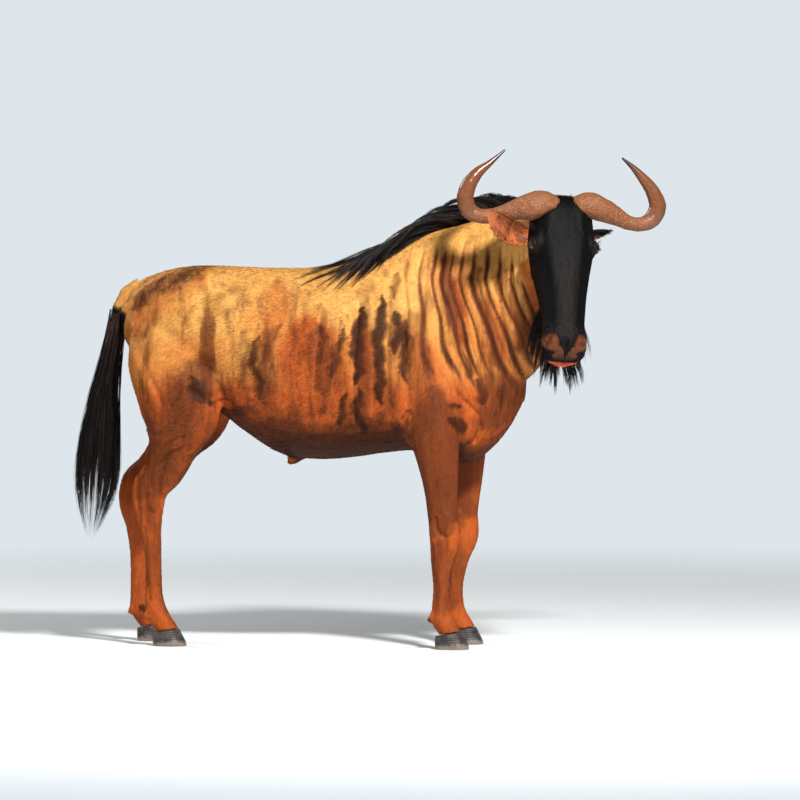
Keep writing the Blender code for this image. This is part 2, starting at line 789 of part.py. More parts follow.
def tail(legs):
    """The tail: its bony part and the long hair that hangs from it."""
    rows = [(x, 0, z, half, half, half) for x, z, half in DOCK]
    core = limb("tail", rows, 14, 9, (0, 1, 0))
    middle, height = [row[0] for row in DOCK], [row[1] for row in DOCK]
    surface = surface_of(legs)
    rng = random.Random(11)
    locks = []
    for i in range(TAIL_LOCKS):
        share = (i + 0.5) / TAIL_LOCKS
        z = 1.00 - 0.31 * share + rng.uniform(-0.012, 0.012)
        angle = i * 2.399 + rng.uniform(-0.3, 0.3)
        x = float(np.interp(z, height[::-1], middle[::-1]))
        fore, out = math.cos(angle), math.sin(angle)
        root = Vector((x + fore * 0.010, out * 0.010, z))
        length = rng.uniform(0.85, 1.0) * (0.28 + 0.15 * share)
        spread = 0.16 + 0.12 * share
        lie = [
            (fore * 0.45 - 0.10, out * 0.40, -1.0),
            (fore * spread - 0.12, out * spread * 0.8, -1.0),
            (fore * 0.06 - 0.03, out * 0.05, -1.0),
            (-fore * 0.16 + 0.04, -out * 0.08, -1.0),
        ]
        path = strand(root, lie, length, surface, 0.004)
        locks.append(lock(path, taper(rng.uniform(0.015, 0.020)), 0.0055, (fore, out, 0)))
    return hair(core, locks, 1550)


def mane(surface):
    """The mane from the poll to the withers, its hair blown back along the crest."""
    rows = []
    for x, y, z in CREST:
        near = surface.find_nearest(Vector((x, y, z + 0.1)))[0]
        rows.append((near.x, near.y, near.z + 0.002, 0.017, 0.026, 0.03))
    core = limb("mane", rows, 22, 8)
    crest = flowing([row[:3] for row in rows], 60)
    rng = random.Random(5)
    locks = []
    for i in range(MANE_LOCKS):
        share = (i + 0.5) / MANE_LOCKS
        place = crest[int(share * 54) + 1]
        back = (Vector(crest[int(share * 54) + 2]) - Vector(crest[int(share * 54)])).normalized()
        side = rng.choice((-1, -1, 1)) if share > 0.5 else (-1) ** i
        # The hair stands up along the neck and falls to the sides at the withers
        fall = float(np.interp(share, [0, 0.35, 0.55, 0.75, 0.9, 1.0], [0.05, 0.08, 0.55, 0.95, 0.55, 0.10]))
        rise = float(np.interp(share, [0, 0.18, 0.4, 0.6, 0.8, 1.0], [0.05, 0.25, 1.05, 0.50, 0.10, 0.02]))
        root = Vector(place) + Vector((0, side * 0.006, -0.004 + 0.012 * rng.random()))
        length = rng.uniform(0.8, 1.1) * float(np.interp(share, [0, 0.3, 0.6, 0.8, 1.0], [0.11, 0.18, 0.26, 0.32, 0.36]))
        out, up = Vector((0, side, 0)), Vector((0, 0, 1))
        lie = [
            back * 0.6 + up * rise + out * (0.20 + fall * 0.6),
            back + up * (rise * 0.50 - fall * 0.4) + out * fall * 0.7,
            back * 0.8 - up * (0.10 + fall * 0.9) + out * fall * 0.5,
            back * 0.7 - up * (0.30 + fall * 1.1) + out * fall * 0.2,
        ]
        path = strand(root, lie, length, surface, 0.005)
        flat = Vector((0, side * (0.9 - 0.3 * rise), 0.45))
        locks.append(lock(path, taper(rng.uniform(0.013, 0.017)), 0.0050, flat))
    return hair(core, locks, 1650)


def beard(surface):
    """The beard under the chin and down the throat."""
    matrix = head_matrix()
    rows = []
    for x, z, wide, up, down in BEARD_CORE:
        rows.append((*(matrix @ Vector((x, 0, z))), wide, up, down))
    out = matrix.to_3x3() @ Vector((0, 1, 0))
    core = limb("beard", rows, 12, 8, out)
    away = matrix.to_3x3() @ Vector((0, 0, -1))
    away.z = 0
    rng = random.Random(9)
    locks = []
    for i in range(BEARD_LOCKS):
        share = (i + 0.5) / BEARD_LOCKS
        at = 0.24 + 0.265 * share
        depth = float(np.interp(at, [row[0] for row in BEARD_CORE], [row[1] for row in BEARD_CORE]))
        spread = ((i * 0.618) % 1.0) * 2 - 1
        root = matrix @ Vector((at, spread * 0.022, depth - 0.012))
        length = float(np.interp(share, [0, 0.5, 1.0], [0.24, 0.20, 0.13])) * rng.uniform(0.85, 1.08)
        lie = [
            away * 0.6 + out * (spread * 0.85 + 0.12) + Vector((0, 0, -0.6)),
            away * 0.1 + out * (spread * 0.55 + 0.12) + Vector((0, 0, -1)),
            out * (spread * 0.30 + 0.04) + Vector((0.02, 0, -1)),
            out * spread * 0.05 + Vector((-0.02, 0, -1)),
        ]
        path = strand(root, lie, length, surface, 0.005)
        flat = away + out * spread * 0.9
        locks.append(lock(path, taper(rng.uniform(0.010, 0.014)), 0.0045, flat))
    return hair(core, locks, 900)


def painted(thing, colour):
    """Gives a part its plain library colour."""
    material = bpy.data.materials.get(colour)
    if material is None:
        material = bpy.data.materials.new(colour)
        material.use_nodes = True
        shader = material.node_tree.nodes["Principled BSDF"]
        shader.inputs["Base Color"].default_value = (*COLOURS[colour], 1)
        shader.inputs["Roughness"].default_value = 0.75
    thing.data.materials.clear()
    thing.data.materials.append(material)
    thing.data.shade_smooth()


def main():
    for thing in list(bpy.data.objects):
        bpy.data.objects.remove(thing)

    whole = flesh()
    neck_zone = lambda grow: beyond(NECK_PLANE, grow)
    head_zone = lambda grow: beyond(HEAD_PLANE, grow)
    leg_zones = {name: (lambda grow, name=name: leg_zone(name, grow)) for name in LEGS}

    torso = parted(whole, "torso", 5000, outside=[neck_zone, *leg_zones.values()])
    neck = parted(whole, "neck", 2600, inside=[neck_zone], outside=[head_zone])
    legs = {}
    for name, zone in leg_zones.items():
        shown = "leg_" + name
        foot_zone = lambda grow, name=name: coronet(name, grow)
        legs[name] = parted(whole, shown, 720, inside=[zone, foot_zone])

    # The head is melted again, finer, with the forms of the face
    rough = boolean(copy_of(whole, "rough"), head_zone(0.03), "INTERSECT")
    head = melted("head", [rough, *head_pieces()], 0.0032)
    relaxed(head, 4, lambda points: np.full(len(points), 0.8))
    thinned(head, 1500)
    boolean(head, head_zone(-GAP / 2), "INTERSECT")
    for hollow in head_hollows():
        boolean(head, hollow, "DIFFERENCE")

    eyes, horns, ears, hooves = [], [], [], []
    for side, label in ((-1, "right"), (1, "left")):
        place = (EYE_PLACE.x, side * EYE_PLACE.y, EYE_PLACE.z)
        ball = ellipsoid(place, (EYE_RADIUS,) * 3, 8, 12)
        ball.name = "eye_" + label
        eyes.append(placed(ball, head_matrix()))
        horns.append(horn("horn_" + label, side))
        ears.append(ear("ear_" + label))
    clear_of(head, [*eyes, *horns])
    clear_of(neck, horns)
    for one in ears:
        clear_of(one, [*horns, head, neck])
    for name in LEGS:
        made = hoof(name)
        made.name = "hoof_" + name
        boolean(made, coronet(name, GAP / 2), "DIFFERENCE")
        hooves.append(made)
    surface = surface_of([torso, neck, head])
    hairs = [mane(surface), beard(surface), tail([torso, *legs.values()])]
    clear_of(hairs[0], [torso, neck, head, *ears, *horns])
    clear_of(hairs[1], [head, neck])
    clear_of(hairs[2], [torso, *legs.values()])
    discard(whole)
    for thing in (torso, neck, head, *legs.values(), *ears, *hairs):
        largest(thing)

    for thing in (torso, neck, *legs.values(), *ears):
        painted(thing, "hide")
    painted(head, "dark hide")
    for things, colour in ((hairs, "hair"), (horns, "horn"), (hooves, "hoof"), (eyes, "eye")):
        for thing in things:
            painted(thing, colour)

    # The origin goes to the floor under the middle of the whole animal
    low, high = zip(*(bounded(thing) for thing in bpy.data.objects))
    low, high = np.min(low, axis=0), np.max(high, axis=0)
    shift = Vector((-(low[0] + high[0]) / 2, -(low[1] + high[1]) / 2, -low[2]))
    for thing in bpy.data.objects:
        placed(thing, Matrix.Translation(shift))


main()
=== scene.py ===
# A life-size blue wildebeest bull, standing with its head turned to its right.
# Metres, +Z up; the body faces +X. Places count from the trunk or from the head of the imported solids.
import math

import bmesh
import bpy
import numpy as np
from mathutils import Matrix, Vector, noise
from mathutils.bvhtree import BVHTree


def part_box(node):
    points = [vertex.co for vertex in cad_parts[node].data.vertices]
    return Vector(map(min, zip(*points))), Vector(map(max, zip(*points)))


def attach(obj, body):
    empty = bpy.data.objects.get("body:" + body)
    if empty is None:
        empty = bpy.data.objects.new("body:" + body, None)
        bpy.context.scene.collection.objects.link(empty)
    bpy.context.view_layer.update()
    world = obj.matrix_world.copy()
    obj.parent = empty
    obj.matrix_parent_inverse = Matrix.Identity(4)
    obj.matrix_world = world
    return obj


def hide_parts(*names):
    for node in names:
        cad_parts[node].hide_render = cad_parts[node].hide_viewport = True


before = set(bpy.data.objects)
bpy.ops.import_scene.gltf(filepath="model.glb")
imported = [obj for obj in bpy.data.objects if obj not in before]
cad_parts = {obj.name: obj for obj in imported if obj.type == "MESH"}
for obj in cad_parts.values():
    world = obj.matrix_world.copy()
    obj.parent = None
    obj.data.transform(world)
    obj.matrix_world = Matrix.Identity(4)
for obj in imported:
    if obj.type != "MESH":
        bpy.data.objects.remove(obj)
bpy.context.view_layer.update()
print("frame loaded")


def middle(node):
    low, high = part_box(node)
    return (low + high) / 2


# The trunk's middle on the floor, then the head's own space: X down the face, Z out of it
stance = {"forehoof": 0.520, "crown": (0.902, -0.230, 1.448), "turn": -69, "tilt": -3.5, "droop": 70}
trunk = Vector((middle("hoof_fore_right").x - stance["forehoof"], middle("torso").y, 0))
headSpace = (
    Matrix.Translation(trunk + Vector(stance["crown"]))
    @ Matrix.Rotation(math.radians(stance["turn"]), 4, "Z")
    @ Matrix.Rotation(math.radians(stance["tilt"]), 4, "X")
    @ Matrix.Rotation(math.radians(stance["droop"]), 4, "Y")
)
view = {"azimuth": 10, "elevation": 2, "distance": 25, "width": 2.58, "aim": (0.3177, 0.056, 0.79)}


def ease(value, low, high):  # 0 at low and 1 at high, smooth between; high may be the smaller
    share = np.clip((value - low) / (high - low), 0, 1)
    return share * share * (3 - 2 * share)


def unit(vectors):
    return vectors / np.maximum(np.linalg.norm(vectors, axis=-1, keepdims=True), 1e-9)


def through(matrix, points):
    turned = np.array(matrix)
    return points @ turned[:3, :3].T + turned[:3, 3]


def nearPath(places, path):  # each place's gap to a path, and the share of the path at its nearest point
    steps = np.linalg.norm(np.diff(path, axis=0), axis=1)
    starts = np.concatenate([[0.0], np.cumsum(steps)])
    gap, share = np.full(len(places), 1e9), np.zeros(len(places))
    for i, step in enumerate(steps):
        along = np.clip((places - path[i]) @ (path[i + 1] - path[i]) / step**2, 0, 1)
        away = np.linalg.norm(places - path[i] - along[:, None] * (path[i + 1] - path[i]), axis=1)
        near = away < gap
        gap[near] = away[near]
        share[near] = (starts[i] + along[near] * step) / starts[-1]
    return gap, share


def strokes(places, lines, combine=np.maximum, blunt=0.45):  # lines of width, strength and path
    total = np.zeros(len(places))
    for width, strength, path in lines:
        path = np.array(path, float)
        inside = np.all((places > path.min(0) - width) & (places < path.max(0) + width), axis=1)
        index = np.flatnonzero(inside)
        gap, share = nearPath(places[index], path)
        wide = width * (blunt + (1 - blunt) * np.sqrt(np.sin(np.pi * np.clip(share, 0, 1))) + 1e-6)
        total[index] = combine(total[index], strength * ease(gap / wide, 1.0, 0.15))
    return total


def wandering(places, reach, wave):  # places moved about softly, for marks with uneven edges
    a, b = places.T / wave
    across = np.sin(2.1 * b + 1.3 * np.sin(1.7 * a)) + 0.6 * np.sin(5.7 * b + 2.3 * a)
    across = across + 0.3 * np.sin(13.1 * b)
    along = np.sin(1.9 * a + 1.1 * np.sin(2.3 * b)) + 0.5 * np.sin(4.9 * a + 3.1 * b)
    return places + reach * np.stack([across, along], 1)


def mound(distance, middle, width, height):  # how high a soft mound is at each distance
    return height * np.exp(-(((distance - middle) / width) ** 2))


def sidePlace(points):  # along the body and up, as the camera sees it, alike on both sides
    turned = math.radians(view["azimuth"])
    along = (points[:, 0] - trunk.x) * math.cos(turned) - np.abs(points[:, 1] - trunk.y) * math.sin(turned)
    return np.stack([along, points[:, 2]], 1)


# Mesh tools

def addMesh(name, points, faces, smooth=True):
    faces = np.asarray(faces)
    mesh = bpy.data.meshes.new(name)
    mesh.vertices.add(len(points))
    mesh.vertices.foreach_set("co", np.asarray(points, np.float32).ravel())
    mesh.loops.add(faces.size)
    mesh.loops.foreach_set("vertex_index", faces.ravel().astype(np.int32))
    mesh.polygons.add(len(faces))
    mesh.polygons.foreach_set("loop_start", np.arange(0, faces.size, faces.shape[1], dtype=np.int32))
    mesh.update(calc_edges=True)
    mesh.polygons.foreach_set("use_smooth", np.full(len(faces), smooth))
    piece = bpy.data.objects.new(name, mesh)
    bpy.context.scene.collection.objects.link(piece)
    return piece


def vectorsOf(items, key):
    vectors = np.empty(len(items) * 3, np.float32)
    items.foreach_get(key, vectors)
    return vectors.reshape(-1, 3).astype(float)


def pointsOf(piece):
    return vectorsOf(piece.data.vertices, "co")


def normalsOf(piece):
    return vectorsOf(piece.data.vertices, "normal")


def faceMiddles(piece):
    return vectorsOf(piece.data.polygons, "center")


def trianglesOf(piece):
    mesh = piece.data
    mesh.calc_loop_triangles()
    corners = np.empty(len(mesh.loop_triangles) * 3, np.int32)
    mesh.loop_triangles.foreach_get("vertices", corners)
    return corners.reshape(-1, 3)


def keepMarks(piece, marks):  # values kept on the points, for the materials
    for name, values in marks.items():
        layer = piece.data.attributes.new(name, "FLOAT", "POINT")
        layer.data.foreach_set("value", values.astype(np.float32))


def keepChart(piece, flat, faces):  # a place on the chart for every corner
    layer = piece.data.uv_layers.new(name="OFBake")
    layer.data.foreach_set("uv", flat[faces.ravel()].astype(np.float32).ravel())


def setPoints(piece, points):
    piece.data.vertices.foreach_set("co", points.astype(np.float32).ravel())
    piece.data.update()


def settle(piece):  # applies the modifiers
    graph = bpy.context.evaluated_depsgraph_get()
    mesh = bpy.data.meshes.new_from_object(piece.evaluated_get(graph))
    piece.modifiers.clear()
    piece.data = mesh
    return piece


def loft(rings):  # points and triangles over closed rings, with both ends drawn in
    rings = np.array(rings, float)
    count, sides = rings.shape[:2]
    points = np.concatenate([rings.reshape(-1, 3), rings[:1].mean(1), rings[-1:].mean(1)])
    faces = []
    for side in range(sides):
        after = (side + 1) % sides
        faces.append((count * sides, after, side))
        faces.append((count * sides + 1, (count - 1) * sides + side, (count - 1) * sides + after))
        for row in range(0, (count - 1) * sides, sides):
            faces.append((row + side, row + after, row + sides + after))
            faces.append((row + side, row + sides + after, row + sides + side))
    faces = np.array(faces)
    a, b, c = (points[faces[:, corner]] for corner in range(3))
    if np.sum(a * np.cross(b, c)) < 0:  # the faces point out
        faces = faces[:, ::-1]
    return points, faces


def joined(name, parts):  # one mesh over (points, triangles) parts
    points, faces, start = [], [], 0
    for partPoints, partFaces in parts:
        points.append(partPoints)
        faces.append(np.asarray(partFaces) + start)
        start += len(partPoints)
    return addMesh(name, np.concatenate(points), np.concatenate(faces))


def solidOf(node):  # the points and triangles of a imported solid
    return pointsOf(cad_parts[node]), trianglesOf(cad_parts[node])


def remeshed(piece, voxel):
    step = piece.modifiers.new("Remesh", "REMESH")
    step.mode = "VOXEL"
    step.voxel_size = voxel
    step.use_smooth_shade = True
    return settle(piece)


def linked(piece):  # both ends of every edge
    ends = np.empty(len(piece.data.edges) * 2, np.int32)
    piece.data.edges.foreach_get("vertices", ends)
    return ends.reshape(-1, 2).T


def averaged(values, ends):  # each point's value taken to the mean of its neighbours
    one, other = ends
    count = len(values)
    near = np.bincount(one, minlength=count) + np.bincount(other, minlength=count)
    total = [
        np.bincount(one, values[other, axis], count) + np.bincount(other, values[one, axis], count)
        for axis in range(values.shape[1])
    ]
    return np.stack(total, 1) / np.maximum(near, 1)[:, None]


def relax(piece, rounds, weight):  # evens out the surface without shrinking it
    points, ends = pointsOf(piece), linked(piece)
    for _ in range(rounds):
        for push in (0.5, -0.52):
            points = points + push * weight[:, None] * (averaged(points, ends) - points)
    setPoints(piece, points)


# The skin: one closed surface over all the flesh, drawn in by the depth of the coat

skinShape = {
    "voxel": 0.0052,
    "depth": 0.0022,
    "dock": ((-0.520, 1.150, 0.036), (-0.565, 1.128, 0.031), (-0.592, 1.085, 0.026), (-0.604, 1.040, 0.022),
             (-0.614, 0.985, 0.019), (-0.628, 0.920, 0.015), (-0.636, 0.870, 0.008)),
    "lips": ((0.475, 0.0, -0.079), (0.046, 0.050, 0.010)),  # fills the mouth's slit, which is cut again finer
}


def roundTube(path, sides=14):  # a tube in the body's middle plane: forward, up and radius
    path = np.array(path)
    turns = np.arange(sides) * 2 * math.pi / sides
    along = unit(np.gradient(path[:, :2], axis=0))
    rings = []
    for (x, z, radius), (dx, dz) in zip(path, along):
        ring = np.stack([
            trunk.x + x + radius * np.cos(turns) * dz,
            trunk.y + radius * np.sin(turns),
            z - radius * np.cos(turns) * dx,
        ], 1)
        rings.append(ring)
    return loft(rings)


def ball(centre, halves, rings=24, sides=36):
    angles, turns = np.linspace(0.06, math.pi - 0.06, rings), np.arange(sides) * 2 * math.pi / sides
    made = [
        np.stack([math.sin(a) * np.cos(turns), math.sin(a) * np.sin(turns), np.full(sides, math.cos(a))], 1)
        * halves + centre
        for a in angles
    ]
    return loft(made)


def refined(piece, chosen):  # splits the chosen faces in four
    shape = bmesh.new()
    shape.from_mesh(piece.data)
    shape.faces.ensure_lookup_table()
    edges = {edge for i in np.flatnonzero(chosen) for edge in shape.faces[i].edges}
    bmesh.ops.subdivide_edges(shape, edges=list(edges), cuts=1, use_grid_fill=True)
    shape.to_mesh(piece.data)
    shape.free()


fleshNodes = ["torso", "neck", "head", "leg_fore_right", "leg_fore_left", "leg_hind_right", "leg_hind_left"]
lipPoints, lipFaces = ball(*map(np.array, skinShape["lips"]))
parts = [solidOf(node) for node in fleshNodes + ["eye_right", "eye_left"]]
parts += [roundTube(skinShape["dock"]), (through(headSpace, lipPoints), lipFaces)]
skin = remeshed(joined("skin", parts), skinShape["voxel"])

toHead = headSpace.inverted()


def headShare(points):  # 1 on the head, 0 on the neck and body
    there = through(toHead, points)
    across = ease(np.abs(there[:, 1]), 0.20, 0.15)
    return ease(there[:, 0], -0.06, 0.02) * ease(there[:, 2], -0.27, -0.19) * across


points = pointsOf(skin)
onHead = headShare(points)
relax(skin, 70, (1 - onHead) * ease(points[:, 2], 0.60, 0.80))
relax(skin, 12, 0.9 * (1 - onHead) * ease(points[:, 2], 0.80, 0.60) + 0.5 * onHead)
relax(skin, 5, 0.9 * onHead)
setPoints(skin, pointsOf(skin) - skinShape["depth"] * (1 - 0.5 * onHead[:, None]) * normalsOf(skin))
refined(skin, headShare(faceMiddles(skin)) > 0.5)

eyeShape = {
    "sight": (0.0, 0.86, 0.50),
    "radius": 0.0205,
    "opening": (0.0180, 0.0112),
    "lid": 0.0022,
    "crease": (1.9, 0.3, 0.0008),  # in the upper and lower lid: middle, width and depth
    "sunk": 0.004,  # how far the skin lies under the ball's surface between the lids
}


def eyeFrame(label):  # the eye's middle in the head's space, its sight and the way its upper lid lies
    side = -1 if label == "right" else 1
    centre = through(toHead, np.array([middle("eye_" + label)]))[0]
    sight = unit(np.array(eyeShape["sight"]) * (1, side, 1))
    return centre, sight, np.array([0, -side * sight[2], abs(sight[1])])


eyes = {label: eyeFrame(label) for label in ("right", "left")}


def eyeGap(points):  # how far each point is from the nearer eye
    there = through(toHead, points)
    return np.min([np.linalg.norm(there - centre, axis=1) for centre, _, _ in eyes.values()], axis=0)


refined(skin, eyeGap(faceMiddles(skin)) < 0.045)
onMuzzle = through(toHead, faceMiddles(skin))[:, 0] > 0.42
refined(skin, onMuzzle & (headShare(faceMiddles(skin)) > 0.5))
relax(skin, 3, headShare(pointsOf(skin)))
print("skin melted:", len(skin.data.polygons), "faces")

# The face is shaped in the head's space
face = {
    "nostril": (
        (0.440, 0.046, 0.001), (0.462, 0.056, -0.006), (0.480, 0.066, -0.020), (0.486, 0.068, -0.036),
    ),
    "pit": (0.0, 0.0085, 0.013),  # in the nostril: middle, width and depth
    "rim": (0.015, 0.005, 0.0022),
    "mouth": (-0.079, 0.052),  # height at 0.48 down the face, and slope
    "slit": (0.0, 0.0024, 0.0065),
    "lips": (0.007, 0.004, 0.0018),
    "ridges": (
        (0.026, 0.0022, ((-0.005, 0.048), (0.050, 0.050), (0.115, 0.058))),
        (0.024, 0.0016, ((0.120, 0.060), (0.200, 0.050), (0.300, 0.044))),
        (0.014, 0.0022, ((0.470, 0.012), (0.500, 0.014), (0.515, 0.018))),
    ),
    "grooves": (
        (0.030, 0.0012, ((0.020, 0.018), (0.080, 0.022), (0.140, 0.020))),
        (0.007, 0.0030, ((0.470, 0.000), (0.500, 0.000), (0.530, 0.000))),
        (0.010, 0.0022, ((0.425, 0.030), (0.440, 0.050), (0.430, 0.066))),
    ),
}


def mouthGap(there):  # how far above the mouth's line
    height, slope = face["mouth"]
    return there[:, 2] - (height + slope * (there[:, 0] - 0.48))


def lidPlace(there, label):  # the distance from an eye, then how far out from its opening, ahead and up
    centre, sight, over = eyes[label]
    offset = there - centre
    length, height = eyeShape["opening"]
    along, up = offset[:, 0] / length, offset @ over / height
    up = up * (1 + 0.35 * np.clip(np.abs(along), 0, 1) ** 2)
    return np.linalg.norm(offset, axis=1), np.hypot(along, up), offset @ sight, offset @ over


there = through(toHead, pointsOf(skin))
skinNormals = through(toHead.to_3x3().to_4x4(), normalsOf(skin))
side = np.abs(there[:, 1])
flatPlace = np.stack([there[:, 0], side], 1)
frontal = ease(skinNormals[:, 2], 0.1, 0.6) * (headShare(pointsOf(skin)) > 0.4)
lift = strokes(flatPlace, face["ridges"]) - strokes(flatPlace, face["grooves"])
there = there + skinNormals * (lift * frontal)[:, None]
for label, (centre, sight, over) in eyes.items():
    distance, out, ahead, up = lidPlace(there, label)
    lidRadius = eyeShape["radius"] + eyeShape["lid"] * (1 + 0.5 * (up > 0)) - mound(out, *eyeShape["crease"])
    blend = ease(out, 2.3, 1.5) * (ahead > 0)
    radius = distance + (lidRadius - distance) * blend
    radius = np.where(out < 1, eyeShape["radius"] - eyeShape["sunk"], radius)
    moved = (distance < 0.05) & (ahead > 0) & (out < 2.3)
    there[moved] = centre + (there[moved] - centre) * (radius / distance)[moved, None]
mirrored = there.copy()
mirrored[:, 1] = np.abs(there[:, 1])
gap, _ = nearPath(mirrored, np.array(face["nostril"]))
inward = unit(np.array([0.455, 0.0, -0.060]) - there)
there = there + inward * (mound(gap, *face["pit"]) - mound(gap, *face["rim"]))[:, None]
above = mouthGap(there)
cut = mound(above, *face["slit"]) - mound(np.abs(above), *face["lips"])
inward = unit((there - (0.42, 0.0, 0.0)) * (-1, -1, 0))
there = there + inward * (cut * ease(there[:, 0], 0.428, 0.450))[:, None]
setPoints(skin, through(headSpace, there))
print("face shaped")

# Upright pleats of loose skin, deepest on the neck, that lean forward toward the chest
pleats = {
    "valleys": (  # how far forward each lies on the upper neck, and how dark its valley is painted: the neck's own dark stripe there, with painted shade in the crease
        (0.235, 0.1), (0.290, 0.2), (0.345, 0.4), (0.388, 0.8), (0.430, 0.7), (0.458, 1.0), (0.482, 0.9),
        (0.514, 0.35), (0.552, 1.0), (0.596, 0.9), (0.636, 0.4), (0.675, 0.75), (0.710, 0.5), (0.745, 0.6),
        (0.785, 0.4), (0.830, 0.3),
    ),
    "depth": 0.0085,
    "crest": (0.7, 0.8),  # how round the crests are, and the share of the depth that lies below the skin
    "wave": 0.004,
    "leanBelow": 1.18,
    "drawnAbove": 1.2,
    "lean": ((0.20, 0.32, 0.40, 0.50, 0.60, 0.75), (-0.10, 0.0, 0.05, 0.25, 0.32, 0.42)),
    "share": ((0.10, 0.30, 0.38, 0.45, 0.80, 0.88), (0.0, 0.15, 0.6, 1.0, 1.0, 0.3)),
    "levels": (0.80, 0.95, 1.23, 1.32),
}


def pleated(place):  # height up a pleat's side, 0 to 1, how strong the pleat is and how dark its valley is painted, as stripe and painted shade
    along, high = place.T
    level = along - np.interp(along, *pleats["lean"]) * np.maximum(pleats["leanBelow"] - high, 0)
    level = level - 0.1 * np.maximum(high - pleats["drawnAbove"], 0)
    valleys, darkness = np.array(pleats["valleys"]).T
    level = level + pleats["wave"] * np.sin(high * 31 + along * 7)
    count = np.interp(level, valleys, np.arange(len(valleys)))
    nearest = np.round(count).astype(int)
    low, full, fading, top = pleats["levels"]
    share = np.interp(along, *pleats["share"]) * ease(high, low, full) * ease(high, top, fading)
    dark = darkness[nearest] * (0.70 + 0.30 * np.sin(high * 13 + nearest * 2.4))
    return np.abs(np.sin(np.pi * count)), share, dark


